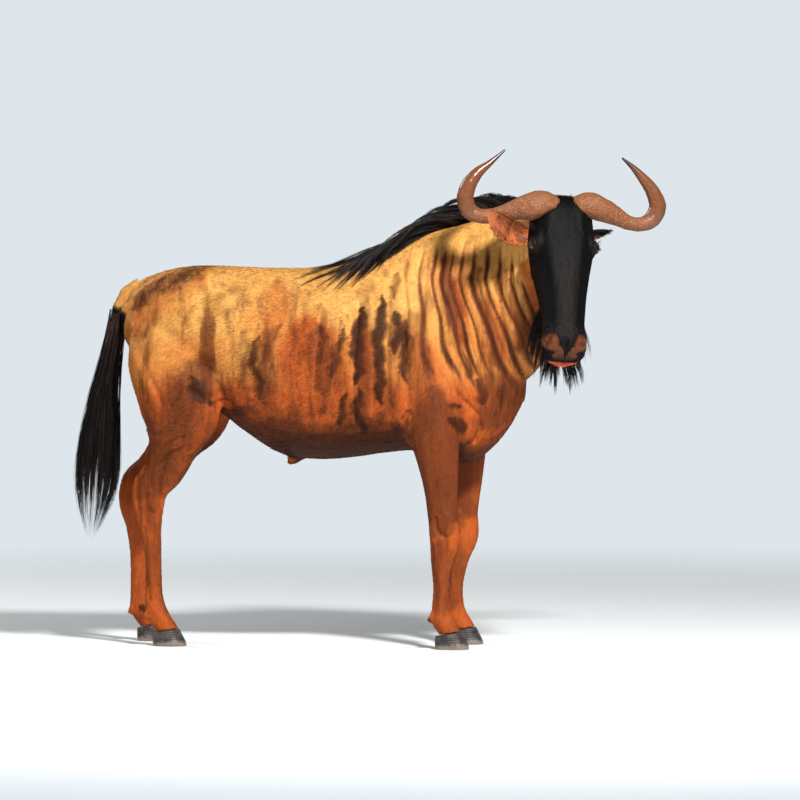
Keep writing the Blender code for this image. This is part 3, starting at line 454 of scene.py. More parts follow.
# Folds and muscles of the neck and body: width, height or depth, and a path along the side and up
relief = {
    "grooves": (
        (0.01, 0.005, ((0.529, 1.303), (0.518, 1.245), (0.516, 1.181), (0.521, 1.116), (0.534, 1.052),
         (0.548, 0.987), (0.569, 0.913), (0.587, 0.861))),
        (0.01, 0.004, ((0.623, 1.261), (0.619, 1.213), (0.628, 1.148), (0.644, 1.094), (0.658, 1.035),
         (0.681, 0.968), (0.703, 0.913), (0.729, 0.842))),
        (0.011, 0.005, ((0.679, 1.255), (0.679, 1.200), (0.687, 1.135), (0.708, 1.068), (0.735, 1.013),
         (0.765, 0.968), (0.790, 0.906))),
        (0.01, 0.004, ((0.571, 1.274), (0.571, 1.203), (0.581, 1.139), (0.600, 1.081), (0.626, 1.016),
         (0.655, 0.952), (0.681, 0.894))),
        (0.012, 0.003, ((0.465, 1.274), (0.455, 1.194), (0.448, 1.113), (0.455, 1.029), (0.477, 0.932),
         (0.500, 0.829), (0.535, 0.784))),
        (0.012, 0.003, ((0.413, 1.235), (0.403, 1.145), (0.397, 1.055), (0.413, 0.952), (0.432, 0.855))),
        (0.012, 0.004, ((0.708, 1.255), (0.713, 1.184), (0.732, 1.119), (0.761, 1.052))),
        (0.014, 0.005, ((0.532, 0.797), (0.568, 0.752), (0.581, 0.706), (0.561, 0.661))),
        (0.012, 0.004, ((0.339, 1.016), (0.339, 0.919), (0.348, 0.842), (0.348, 0.777))),
        (0.014, 0.006, ((0.365, 0.645), (0.342, 0.687), (0.335, 0.732), (0.352, 0.765))),
        (0.018, 0.0025, ((-0.542, 1.016), (-0.513, 0.929), (-0.487, 0.871), (-0.455, 0.819),
         (-0.439, 0.777))),
        (0.02, 0.004, ((-0.306, 0.797), (-0.348, 0.829), (-0.387, 0.816), (-0.413, 0.777))),
        (0.012, 0.003, ((-0.371, 0.677), (-0.413, 0.655), (-0.452, 0.629))),
        (0.012, 0.004, ((-0.377, 0.639), (-0.419, 0.613), (-0.458, 0.577))),
        (0.014, 0.0025, ((-0.430, 0.600), (-0.455, 0.545), (-0.452, 0.490), (-0.440, 0.440))),
        (0.014, 0.003, ((-0.490, 0.590), (-0.520, 0.540), (-0.525, 0.480), (-0.515, 0.400))),
        (0.014, 0.003, ((-0.500, 0.380), (-0.497, 0.300), (-0.492, 0.220), (-0.485, 0.150))),
        (0.018, 0.003, ((-0.400, 0.720), (-0.430, 0.690), (-0.470, 0.680))),
        (0.018, 0.0015, ((0.415, 0.640), (0.425, 0.560), (0.440, 0.480), (0.446, 0.430))),
        (0.012, 0.005, ((0.435, 0.425), (0.436, 0.395), (0.450, 0.368), (0.470, 0.360))),
        (0.014, 0.002, ((0.425, 0.340), (0.432, 0.260), (0.435, 0.180), (0.430, 0.120))),
        (0.02, 0.004, ((-0.219, 0.790), (-0.252, 0.784), (-0.284, 0.777))),
        (0.01, 0.003, ((0.194, 1.113), (0.187, 1.016), (0.177, 0.919), (0.174, 0.823), (0.181, 0.726))),
        (0.01, 0.002, ((0.135, 1.081), (0.123, 0.952), (0.110, 0.823))),
        (0.01, 0.002, ((0.071, 1.081), (0.058, 0.952), (0.048, 0.823))),
    ),
    "ridges": (
        (0.026, 0.007, ((0.474, 0.430), (0.482, 0.400), (0.474, 0.372))),
        (0.022, 0.002, ((0.455, 0.700), (0.462, 0.600), (0.468, 0.500))),
        (0.020, 0.002, ((0.462, 0.340), (0.466, 0.240), (0.464, 0.140))),
        (0.016, 0.005, ((-0.560, 0.560), (-0.535, 0.600), (-0.505, 0.650), (-0.490, 0.700))),
        (0.022, 0.006, ((-0.480, 0.500), (-0.478, 0.470), (-0.470, 0.440))),
        (0.014, 0.004, ((-0.462, 0.400), (-0.462, 0.300), (-0.455, 0.200))),
        (0.026, 0.003, ((-0.552, 1.048), (-0.545, 0.994), (-0.526, 0.929), (-0.500, 0.871),
         (-0.474, 0.813), (-0.458, 0.758))),
        (0.04, 0.006, ((0.555, 0.752), (0.532, 0.700), (0.523, 0.661))),
        (0.016, 0.006, ((0.355, 0.745), (0.348, 0.713), (0.345, 0.681))),
        (0.055, 0.008, ((-0.306, 1.190), (-0.335, 1.158), (-0.368, 1.126))),
        (0.014, 0.003, ((0.490, 1.258), (0.484, 1.145), (0.494, 1.016), (0.519, 0.903), (0.548, 0.806))),
        (0.012, 0.003, ((0.594, 1.258), (0.587, 1.145), (0.613, 1.032), (0.655, 0.919), (0.684, 0.839))),
        (0.012, 0.003, ((0.652, 1.242), (0.655, 1.145), (0.684, 1.032), (0.729, 0.945))),
        (0.02, 0.003, ((0.229, 1.113), (0.226, 0.984), (0.219, 0.855), (0.226, 0.742))),
        (0.02, 0.003, ((0.300, 1.113), (0.300, 0.952), (0.303, 0.790))),
        (0.05, 0.006, ((-0.161, 0.806), (-0.200, 0.784), (-0.232, 0.777))),
    ),
    "grooveScale": 1.3,
}
points, normals = pointsOf(skin), normalsOf(skin)
place = sidePlace(points)
sideways = ease(np.abs(normals[:, 1]), 0.15, 0.55) * ease(headShare(points), 0.75, 0.45)
risen, pleatShare, _ = pleated(place)
rise = strokes(place, relief["ridges"], np.add)
rise = rise - strokes(place, relief["grooves"], np.add) * relief["grooveScale"]
roundness, sunk = pleats["crest"]
rise = rise + pleats["depth"] * (risen**roundness - sunk) * pleatShare
setPoints(skin, points + normals * (rise * sideways)[:, None])

# The markings, with the painted shade and sheen, kept on the skin's points for its material and for the coat
# that grows from it
markings = {
    "stripes": (
        (0.016, 0.75, ((-0.123, 1.013), (-0.139, 0.958), (-0.144, 0.906), (-0.127, 0.842), (-0.123, 0.800))),
        (0.014, 0.35, ((-0.155, 1.000), (-0.165, 0.952), (-0.174, 0.903), (-0.187, 0.848), (-0.171, 0.810))),
        (0.018, 0.45, ((-0.048, 1.042), (-0.087, 0.984), (-0.110, 0.935), (-0.123, 0.900))),
        (0.014, 0.3, ((0.000, 1.032), (-0.013, 0.968), (-0.013, 0.913))),
        (0.02, 0.3, ((0.052, 1.055), (0.039, 1.003), (0.042, 0.945))),
        (0.018, 0.4, ((0.081, 1.016), (0.071, 0.968), (0.065, 0.913))),
        (0.018, 0.7, ((0.145, 1.032), (0.132, 0.965), (0.116, 0.900), (0.106, 0.858))),
        (0.013, 0.5, ((0.074, 0.790), (0.074, 0.752))),
        (0.024, 1.0, ((0.206, 1.100), (0.197, 1.029), (0.194, 0.965), (0.187, 0.900), (0.177, 0.842))),
        (0.02, 0.8, ((0.145, 0.819), (0.142, 0.771), (0.139, 0.716))),
        (0.023, 0.9, ((0.194, 0.832), (0.194, 0.771), (0.197, 0.719), (0.216, 0.681))),
        (0.024, 1.0, ((0.265, 1.139), (0.261, 1.071), (0.258, 1.006), (0.261, 0.942), (0.255, 0.877),
         (0.255, 0.826), (0.261, 0.777))),
        (0.014, 0.5, ((0.319, 1.216), (0.313, 1.168), (0.313, 1.119))),
        (0.012, 0.3, ((0.277, 1.235), (0.284, 1.184))),
        (0.012, 0.3, ((0.345, 1.235), (0.342, 1.184))),
        (0.022, 0.9, ((0.302, 1.090), (0.316, 1.039), (0.313, 1.003), (0.310, 0.950))),
        (0.014, 0.8, ((0.342, 1.055), (0.339, 1.010), (0.339, 0.958), (0.339, 0.900), (0.348, 0.848))),
        (0.024, 0.7, ((0.568, 0.868), (0.581, 0.829), (0.584, 0.790))),
        (0.02, 0.5, ((0.635, 0.935), (0.658, 0.881), (0.684, 0.829))),
        (0.014, 0.5, ((0.352, 1.016), (0.361, 0.952), (0.361, 0.894))),
        (0.016, 0.5, ((0.397, 1.000), (0.410, 0.945), (0.419, 0.881))),
        (0.016, 0.5, ((0.529, 0.952), (0.542, 0.900), (0.552, 0.848))),
    ),
    "rusts": (
        (0.20, 0.42, ((0.46, 1.22), (0.56, 1.08), (0.66, 0.94), (0.74, 0.98))),
        (0.24, 0.75, ((0.02, 1.02), (0.04, 0.90), (0.08, 0.78))),
        (0.10, 0.7, ((0.20, 1.02), (0.22, 0.86), (0.24, 0.74))),
        (0.12, 0.6, ((0.38, 0.98), (0.42, 0.86), (0.45, 0.76))),
        (0.06, 0.7, ((0.49, 1.16), (0.50, 1.08), (0.53, 0.98))),
        (0.07, 0.6, ((0.61, 1.12), (0.63, 1.02), (0.66, 0.93))),
        (0.06, 0.6, ((0.73, 1.24), (0.75, 1.12), (0.77, 1.0), (0.78, 0.9))),
        (0.10, 0.5, ((-0.30, 1.20), (-0.42, 1.16), (-0.50, 1.09), (-0.54, 1.00))),
        (0.10, 0.5, ((-0.07, 1.16), (-0.07, 1.06), (-0.10, 0.96))),
    ),
    "browns": (
        (0.10, 0.55, ((0.05, 1.02), (0.07, 0.92), (0.08, 0.84))),
        (0.09, 0.5, ((-0.10, 1.00), (-0.12, 0.90), (-0.10, 0.80))),
        (0.06, 0.6, ((0.20, 1.08), (0.21, 0.92), (0.22, 0.76))),
        (0.08, 0.6, ((0.36, 1.06), (0.37, 0.92), (0.38, 0.78))),
        (0.05, 0.6, ((0.47, 1.24), (0.48, 1.12), (0.51, 0.98), (0.55, 0.88))),
        (0.05, 0.6, ((0.57, 1.22), (0.59, 1.10), (0.63, 0.98), (0.66, 0.88))),
        (0.05, 0.6, ((0.66, 1.24), (0.66, 1.14), (0.70, 1.02), (0.73, 0.92))),
        (0.05, 0.7, ((0.74, 1.24), (0.755, 1.12), (0.77, 1.0), (0.78, 0.88))),
        (0.12, 0.75, ((0.62, 0.86), (0.66, 0.80), (0.60, 0.73))),
        (0.17, 1.0, ((0.43, 0.80), (0.43, 0.72), (0.44, 0.60), (0.45, 0.46), (0.45, 0.40))),
        (0.09, 0.6, ((0.46, 0.34), (0.46, 0.22), (0.46, 0.12))),
        (0.14, 1.0, ((-0.08, 0.70), (-0.02, 0.66), (0.10, 0.63), (0.25, 0.66), (0.36, 0.68))),
        (0.16, 0.8, ((-0.30, 0.90), (-0.34, 0.84), (-0.38, 0.74), (-0.44, 0.60), (-0.47, 0.52))),
        (0.08, 0.5, ((-0.47, 0.34), (-0.46, 0.22), (-0.42, 0.12))),
        (0.05, 0.5, ((-0.47, 0.66), (-0.50, 0.56), (-0.50, 0.48))),
        (0.04, 0.5, ((-0.46, 0.50), (-0.47, 0.42), (-0.47, 0.34))),
    ),
    "patches": (
        (0.055, 0.6, ((-0.277, 1.223), (-0.361, 1.203), (-0.432, 1.168), (-0.494, 1.123), (-0.535, 1.087))),
        (0.03, 0.7, ((-0.468, 1.145), (-0.506, 1.116))),
        (0.045, 0.8, ((-0.348, 0.861), (-0.329, 0.823), (-0.287, 0.784))),
        (0.04, 0.9, ((0.490, 0.729), (0.516, 0.719), (0.539, 0.726))),
        (0.016, 0.7, ((0.477, 0.777), (0.500, 0.781), (0.523, 0.774))),
        (0.05, 0.45, ((0.652, 0.835), (0.632, 0.784), (0.619, 0.745))),
        (0.05, 0.45, ((0.755, 0.906), (0.768, 0.874), (0.765, 0.842))),
        (0.06, 0.45, ((0.052, 1.032), (0.081, 0.968), (0.071, 0.919))),
        (0.03, 0.6, ((0.742, 1.210), (0.758, 1.145), (0.774, 1.065))),
        (0.016, 1.0, ((0.408, 0.094), (0.416, 0.084), (0.426, 0.078))),
        (0.016, 1.0, ((-0.556, 0.110), (-0.548, 0.102), (-0.538, 0.094))),
    ),
    "stripeScale": 1.5,
    "wander": (0.0065, 0.075),
}
# The muzzle's marks lie so far below the crown and so far out from the middle of the face
muzzle = {
    "faceEdge": ((0.0, 0.10, 0.20, 0.30, 0.40), (-0.075, -0.085, -0.120, -0.215, -0.260)),
    "padHalf": ((0.470, 0.492, 0.515), (0.078, 0.050, 0.034)),
    "padTop": (0.431, 36.0, 0.048),  # its highest place, its curve and how far out it is highest
    "wedge": ((0.430, 0.470, 0.480, 0.487), (0.028, 0.023, 0.008, -0.004)),
    "nostril": ((0.048, 0.494), (0.016, 0.009)),
}
points, normals = pointsOf(skin), normalsOf(skin)
place, there = wandering(sidePlace(points), *markings["wander"]), through(toHead, points)
onHead, onSide = headShare(points), ease(np.abs(normals[:, 1]), 0.05, 0.35)
high, out = points[:, 2], np.abs(there[:, 1])
crestGap = np.abs(points[:, 1] - np.interp(place[:, 0], [0.70, 0.82], [trunk.y, trunk.y - 0.07]))
onCrest = ease(crestGap, 0.030, 0.012) * ease(place[:, 0], 0.20, 0.32) * ease(normals[:, 2], 0.3, 0.7)
faceEdge = np.interp(there[:, 0], *muzzle["faceEdge"])
blackFace = onHead * ease(there[:, 2] - faceEdge, -0.012, 0.012) * ease(there[:, 0], -0.05, -0.01)
dockGap, dockShare = nearPath(points[:, [0, 2]] - (trunk.x, 0), np.array(skinShape["dock"])[:, :2])
onDock = ease(dockGap, 0.045, 0.032) * ease(dockShare, 0.26, 0.36)
fallen = 0.94 * there[:, 0] - 0.342 * there[:, 2]  # how far below the crown
lowerLip = ease(there[:, 0], 0.500, 0.512) * ease(there[:, 2], -0.116, -0.108) * ease(out, 0.050, 0.040)
lowerLip = lowerLip * ease(mouthGap(there), 0.0, -0.003)
top, curve, topOut = muzzle["padTop"]
padTop = top + curve * (out - topOut) ** 2
pads = ease(fallen - padTop, -0.005, 0.011) * ease(fallen, 0.520, 0.502)
pads = pads * ease(out - np.interp(fallen, *muzzle["wedge"]), -0.004, 0.010)
pads = pads * ease(np.interp(fallen, *muzzle["padHalf"]) - out, -0.004, 0.008) * ease(there[:, 0], 0.42, 0.44)
(holeOut, holeFallen), (holeWide, holeHigh) = muzzle["nostril"]
nostrils = ease(np.hypot((out - holeOut) / holeWide, (fallen - holeFallen) / holeHigh), 1.2, 0.6)
risen, pleatShare, valleyStripeAndShade = pleated(sidePlace(points))
offHead = ease(onHead, 0.90, 0.55)
stripes = [(width * markings["stripeScale"], *rest) for width, *rest in markings["stripes"]]
# the pleats' valleys darkened: the neck's own dark stripes, with painted shade in the creases between the
# pleats
stripedShadedValleys = ease(risen, 0.55 + 0.60 * valleyStripeAndShade, 0.05) * (0.50 + 0.50 * valleyStripeAndShade)
skinMarks = {
    "stripe": strokes(place, stripes, blunt=0.05) * onSide * offHead,
    "foldStripeAndShade": stripedShadedValleys * pleatShare * onSide * offHead,
    "brown": strokes(place, markings["browns"]) * (1 - onHead),
    "dark": strokes(place, markings["patches"]) * (1 - onHead),
    "black": np.maximum.reduce([blackFace, onCrest, onDock]),
    "rust": np.maximum(ease(high, 0.98, 0.72), strokes(place, markings["rusts"])),
    # painted shade on the underside: darker where the chest and belly face down
    "under": ease(normals[:, 2], -0.35, -0.80) * ease(high, 0.95, 0.75) * ease(high, 0.50, 0.58),
    "bare": pads * (1 - 0.85 * nostrils) * onHead,
    "lip": lowerLip * onHead,
    # painted sheen as grey flecks down the front of the black face, and painted highlights as two pale
    # streaks on the forehead ridges
    "paintedFaceSheen": onHead * np.maximum(
        ease(out, 0.055, 0.015) * ease(there[:, 0], 0.10, 0.22) * ease(there[:, 2], -0.10, -0.06),
        ease(np.abs(out - 0.048), 0.010, 0.003) * ease(there[:, 0], -0.01, 0.01)
        * ease(there[:, 0], 0.085, 0.06) * (there[:, 2] > -0.06) * 1.6),
    "socket": onHead * ease(eyeGap(points), 0.036, 0.026),
}
keepMarks(skin, skinMarks)
print("skin marked")


# Materials

def tone(*parts):  # a colour as seen on a screen, 0 to 255, made linear
    return (*[part / 3294.6 if part < 10 else ((part / 255 + 0.055) / 1.055) ** 2.4 for part in parts], 1)


class Wire:  # an output of a material's node, reckoned with as a number is
    def __init__(self, tree, socket=None):
        self.tree = tree
        self.socket = socket

    def node(self, kind, settings=None, inputs=None, output=0):
        made = self.tree.nodes.new("ShaderNode" + kind)
        for name, value in (settings or {}).items():
            setattr(made, name, value)
        for name, value in (inputs or {}).items():
            if isinstance(value, Wire):
                self.tree.links.new(value.socket, made.inputs[name])
            else:
                made.inputs[name].default_value = value
        return Wire(self.tree, made.outputs[output] if made.outputs else None)

    def maths(self, operation, one, other):
        return self.node("Math", {"operation": operation}, {0: one, 1: other})

    def __add__(self, other):
        return self.maths("ADD", self, other)

    def __sub__(self, other):
        return self.maths("SUBTRACT", self, other)

    def __rsub__(self, other):
        return self.maths("SUBTRACT", other, self)

    def __mul__(self, other):
        return self.maths("MULTIPLY", self, other)

    __radd__ = __add__
    __rmul__ = __mul__

    def larger(self, other):
        return self.maths("MAXIMUM", self, other)

    def between(self, low, high):  # 0 at low and 1 at high, smooth between
        return self.node("MapRange", {"interpolation_type": "SMOOTHSTEP"},
                         {"Value": self, "From Min": low, "From Max": high})

    def mix(self, one, other):  # this share of the way from one colour to the other
        return self.node("Mix", {"data_type": "RGBA"}, {0: self, 6: one, 7: other}, 2)

    def noise(self, scale, detail=3.0, stretch=(1, 1, 1)):  # from a place
        place = self
        if stretch != (1, 1, 1):
            place = self.node("Mapping", {}, {"Vector": self, "Scale": stretch})
        return self.node("TexNoise", {}, {"Vector": place, "Scale": scale, "Detail": detail})

    def bump(self, distance, strength):  # from a height
        return self.node("Bump", {}, {"Height": self, "Distance": distance, "Strength": strength})

    def height(self):  # of a place
        return self.node("SeparateXYZ", {}, {0: self}, 2)

    def scaled(self, amount):  # a colour made lighter or darker
        return self.node("VectorMath", {"operation": "SCALE"}, {0: self, "Scale": amount})


def newMaterial(name):
    made = bpy.data.materials.new(name)
    made.use_nodes = True
    made.node_tree.nodes.clear()
    start = Wire(made.node_tree)
    return made, start, start.node("TexCoord", output="Object")


def surface(start, inputs):
    start.node("OutputMaterial", {}, {"Surface": start.node("BsdfPrincipled", {}, inputs)})


def mark(start, name):
    return start.node("Attribute", {"attribute_name": name}, output="Fac")


coat = {
    # the upper body's gold, which also carries a painted highlight there
    "gold": tone(226, 164, 86),
    "tan": tone(200, 124, 58),
    "rust": tone(174, 82, 34),
    "brown": tone(98, 48, 24),
    "dark": tone(46, 24, 13),
    "black": tone(9, 8, 8),
    # the grey of the painted sheen and highlight on the black face
    "paintedFaceSheen": tone(32, 27, 23),
    "socket": tone(30, 22, 18),
    "bare": tone(100, 56, 35),
    "lip": tone(206, 84, 48),
    "roughness": 0.52,
}


def onBarrel(height):  # 1 at the height of the ribs, 0 on the legs and along the back
    return height.between(0.62, 0.80) * (1 - height.between(1.02, 1.20))


def coatMaterial(name, tufts):  # one coat for the skin and for the tufts that grow from it
    made, start, place = newMaterial(name)
    broad = place.noise(4.5, 5.0)
    brushed = place.noise(26.0, 4.0, (1.0, 1.0, 0.22))
    fine = place.noise(170.0, 2.0, (1.0, 1.0, 0.35))
    marks = {key: mark(start, key) for key in skinMarks}
    height = place.height()
    # paler gold higher up the body: partly the coat's own tone, partly a painted highlight on the upper body
    goldTopAndHighlight = (height + (broad - 0.5) * 1.3).between(0.72, 1.25)
    colour = goldTopAndHighlight.mix(coat["tan"], coat["gold"])
    reddish = (marks["rust"] + (broad - 0.5) * 0.8 + (brushed - 0.5) * 0.3).between(0.05, 0.80)
    colour = reddish.mix(colour, coat["rust"])
    mottled = (brushed + (broad - 0.5) * 0.8).between(0.46, 0.72) * (0.42 + 0.4 * marks["brown"])
    colour = mottled.mix(colour, coat["brown"])
    single = fine - 0.5
    if tufts:
        single = (mark(start, "tint") - 0.5) * 0.5 + single * 0.5
    streaks = place.noise(80.0, 3.0, (1.0, 1.0, 0.12))
    broken = (brushed - 0.5) * 0.8 + (streaks - 0.5) * 1.0 + single * 0.6
    bands = place.noise(15.0, 3.0, (1.0, 0.5, 0.10))
    banded = (bands + (brushed - 0.5) * 0.5).between(0.47, 0.70) * onBarrel(height) * 0.8
    colour = banded.mix(colour, coat["brown"])
    # the neck's dark stripes in the pleats' valleys, with painted shade in the creases
    foldStripeAndShadeMix = marks["foldStripeAndShade"] * (0.95 + broken * 0.7)
    colour = (foldStripeAndShadeMix.between(0.0, 0.50) * 0.88).mix(colour, coat["brown"])
    colour = (foldStripeAndShadeMix.between(0.32, 0.85) * 0.92).mix(colour, coat["dark"])
    browned = (marks["brown"] + broken * 0.6).between(0.05, 0.90) * marks["brown"].between(0.0, 0.3)
    colour = (browned * 0.85).mix(colour, coat["brown"])
    darkened = (marks["dark"] + broken * 0.7).between(0.15, 0.80) * marks["dark"].between(0.0, 0.35)
    colour = (darkened * 0.85).mix(colour, coat["dark"])
    striped = marks["stripe"] * (0.60 + streaks * 0.8 + single * 0.4)
    colour = (striped.between(0.0, 0.60) * 0.65).mix(colour, coat["brown"])
    colour = (striped.between(0.20, 1.0) * 0.90).mix(colour, coat["dark"])
    # painted shade under the chest and belly
    colour = (marks["under"] * 0.85).mix(colour, coat["dark"])
    colour = (marks["black"] + (fine - 0.5) * 0.4).between(0.3, 0.7).mix(colour, coat["black"])
    # painted sheen and highlight on the black face, broken into flecks
    sheenFlecks = (place.noise(240.0, 3.0) + (brushed - 0.5) * 0.5 + single * 0.3).between(0.42, 0.72)
    colour = (sheenFlecks * marks["paintedFaceSheen"]).mix(colour, coat["paintedFaceSheen"])
    colour = (marks["socket"] * 0.8).mix(colour, coat["socket"])
    colour = (marks["bare"] * (0.55 + 0.45 * place.noise(60.0).between(0.35, 0.6))).mix(colour, coat["bare"])
    colour = marks["lip"].mix(colour, coat["lip"])
    shade = (fine - 0.5) * 0.5 + 1.0
    if tufts:
        shade = mark(start, "tint") * 0.55 + 0.72
    inputs = {"Base Color": colour.scaled(shade), "Specular IOR Level": 0.08}
    if tufts:
        inputs["Roughness"] = coat["roughness"]
    else:
        wet = marks["bare"].larger(marks["lip"])
        inputs["Roughness"] = coat["roughness"] - wet * 0.25
        hairs = place.noise(420.0, 2.0, (1.0, 1.0, 0.25))
        inputs["Normal"] = (hairs * 0.7 + fine * 0.6 + brushed * 1.2).bump(0.0022, 0.8)
    surface(start, inputs)
    return made


skinCoat = coatMaterial("short coat over skin", False)
tuftCoat = coatMaterial("short coat tufts", True)
skin.data.materials.append(skinCoat)


# The short coat: closed flat tufts that lie along the body, in pieces that each have their own chart

tufts = {
    "count": {"flank_right": 34000, "flank_left": 34000, "neck_coat": 30000, "face_coat": 30000,
              "forelegs_coat": 22000, "hindlegs_coat": 26000},
    "length": {"flank_right": 0.0125, "flank_left": 0.0125, "neck_coat": 0.013, "face_coat": 0.0062,
               "forelegs_coat": 0.0075, "hindlegs_coat": 0.0085},
    "halfWidth": 0.0009,
    "rise": 0.16,
    "patch": 0.003,  # the side of each tuft's patch on the chart
    "legTop": (0.66, 0.60),  # how high the coat of the forelegs and of the hind legs reaches
}
rng = np.random.default_rng(41)


def tuftMesh(name, roots, normals, headings, lengths, halves, charts, marks):  # closed, four triangles each
    count = len(roots)
    across = unit(np.cross(headings, normals))
    tips = roots + lengths[:, None] * unit(headings + normals * tufts["rise"])
    low = roots - normals * 0.0008 + headings * 0.0004
    points = np.stack([
        roots - across * halves[:, None], roots + across * halves[:, None],
        low + headings * lengths[:, None] * 0.1, tips,
    ], 1)
    faces = np.array([(0, 1, 3), (1, 2, 3), (2, 0, 3), (0, 2, 1)])
    every = (np.arange(count)[:, None, None] * 4 + faces).reshape(-1, 3)
    piece = addMesh(name, points.reshape(-1, 3), every)
    keepMarks(piece, {key: np.repeat(value, 4) for key, value in marks.items()})
    half = tufts["patch"] / 2
    corners = np.array([(-half, -half), (half, -half), (0, -half * 0.6), (0, half)])
    keepChart(piece, (charts[:, None, :] + corners).reshape(-1, 2), every)
    leant = np.stack([
        unit(normals - across * 0.45), unit(normals + across * 0.45),
        normals, unit(normals + headings * 0.25),
    ], 1)
    piece.data.normals_split_custom_set_from_vertices(leant.reshape(-1, 3))
    return piece


points, normals, corners = pointsOf(skin), normalsOf(skin), trianglesOf(skin)
middles = points[corners].mean(1)
areas = np.linalg.norm(np.cross(points[corners[:, 1]] - points[corners[:, 0]],
                                points[corners[:, 2]] - points[corners[:, 0]]), axis=1)
onHead = headShare(middles)
ahead = middles[:, 0] - trunk.x
legHeight = np.where(ahead > 0, *tufts["legTop"])
onLeg = (middles[:, 2] < legHeight) & (onHead < 0.5)
onNeck = ~onLeg & (onHead < 0.5) & (ahead > 0.30)
zones = {
    "face_coat": onHead >= 0.5,
    "neck_coat": onNeck,
    "forelegs_coat": onLeg & (ahead > 0),
    "hindlegs_coat": onLeg & (ahead <= 0),
    "flank_right": ~onLeg & ~onNeck & (onHead < 0.5) & (middles[:, 1] < trunk.y),
    "flank_left": ~onLeg & ~onNeck & (onHead < 0.5) & (middles[:, 1] >= trunk.y),
}
grown = 1 - np.maximum(skinMarks["bare"], skinMarks["lip"])[corners].mean(1)
grown = grown * ease(eyeGap(middles), 0.026, 0.034) * ease(middles[:, 2], 0.050, 0.060)
coatPieces = []
for name, inZone in zones.items():
    chance = areas * grown * inZone
    count = tufts["count"][name]
    chosen = rng.choice(len(corners), count, p=chance / chance.sum())
    weights = rng.dirichlet((1, 1, 1), count)
    read = corners[chosen]
    roots = np.einsum("nk,nkd->nd", weights, points[read])
    out = unit(np.einsum("nk,nkd->nd", weights, normals[read]))
    there = through(toHead, roots)
    if name == "face_coat":
        down = np.tile(np.array(headSpace.to_3x3()) @ (-1.0, 0.0, 0.0), (count, 1))
        down[there[:, 2] < -0.13] *= -1
        chart = np.stack([there[:, 0] + 0.15, np.arctan2(there[:, 1], there[:, 2] + 0.11) / 7 + 0.5], 1)
    elif name in ("forelegs_coat", "hindlegs_coat"):
        down = np.tile(np.array([-0.15, 0.0, -1.0]), (count, 1))
        right = roots[:, 1] < trunk.y
        sides = np.median(roots[right, :2], axis=0), np.median(roots[~right, :2], axis=0)
        legMiddle = np.where(right[:, None], *sides)
        angle = np.arctan2(roots[:, 1] - legMiddle[:, 1], roots[:, 0] - legMiddle[:, 0])
        chart = np.stack([angle / 14 + np.where(right, 0.25, 0.75), roots[:, 2] * 1.2 + 0.05], 1)
    else:
        steep = ease(roots[:, 0] - trunk.x, 0.25, 0.50)
        down = np.stack([-1 + 0.25 * steep, np.zeros(count), -0.35 - 0.75 * steep], 1)
        down[roots[:, 0] - trunk.x < -0.40] += (0, 0, -0.7)
        angle = np.arctan2(roots[:, 2] - 0.98, roots[:, 1] - trunk.y)
        chart = np.stack([(roots[:, 0] - trunk.x) * 0.55 + 0.40, angle / 7 + 0.5], 1)
    down = unit(down + rng.normal(0, 0.22, (count, 3)))
    headings = unit(down - out * np.sum(down * out, axis=1)[:, None])
    lengths = tufts["length"][name] * rng.uniform(0.65, 1.25, count)
    if name == "face_coat":
        lengths = lengths * (1 + 1.6 * ease(there[:, 0], 0.09, 0.02) * ease(there[:, 2], -0.08, -0.03))
    finer = 0.75 if "leg" in name or "face" in name else 1
    halves = tufts["halfWidth"] * rng.uniform(0.7, 1.3, count) * finer
    grownMarks = {key: np.einsum("nk,nk->n", weights, value[read]) for key, value in skinMarks.items()}
    grownMarks["tint"] = rng.random(count)
    piece = tuftMesh(name, roots, out, headings, lengths, halves, chart, grownMarks)
    piece.data.materials.append(tuftCoat)
    coatPieces.append(piece)
print("coat grown:", sum(len(piece.data.polygons) for piece in coatPieces), "triangles")


# Long hair: locks that bend clear of the body, each drawn out into many tapered hairs

hair = {
    "colour": tone(17, 14, 13),
    "brown": tone(66, 42, 28),
    "brownShare": 0.6,  # of the brown at the roots, and in the palest hairs
    "roughness": 0.32,
    "stations": 8,
}
darkHair, start, place = newMaterial("long dark hair")
tint, along = mark(start, "tint"), mark(start, "along")
browned = tint.between(0.80, 1.0).larger((1 - along).between(0.75, 1.0)) * hair["brownShare"]
streak = place.noise(600.0, 2.0, (1.0, 1.0, 0.06))
surface(start, {
    "Base Color": browned.mix(hair["colour"], hair["brown"]).scaled(tint * 0.9 + 0.6),
    "Roughness": streak * 0.2 + hair["roughness"],
    "Specular IOR Level": 0.3,
    "Normal": streak.bump(0.0004, 0.5),
})


def lockPath(root, headings, length, tree, clear, stations):  # turns through the headings, clear of the body
    path = [Vector(root)]
    headings = [Vector(heading).normalized() for heading in headings]
    step = length / (stations - 1)
    for i in range(1, stations):
        share = (i - 0.5) / (stations - 1) * (len(headings) - 1)
        low = min(int(share), len(headings) - 2)
        place = path[-1] + headings[low].lerp(headings[low + 1], share - low).normalized() * step
        if tree:
            near, normal, _, _ = tree.find_nearest(place)
            wanted = clear * min(1.0, i / 1.5)
            if (place - near).dot(normal) < wanted:
                place = near + normal * wanted
        path.append(place)
    return path


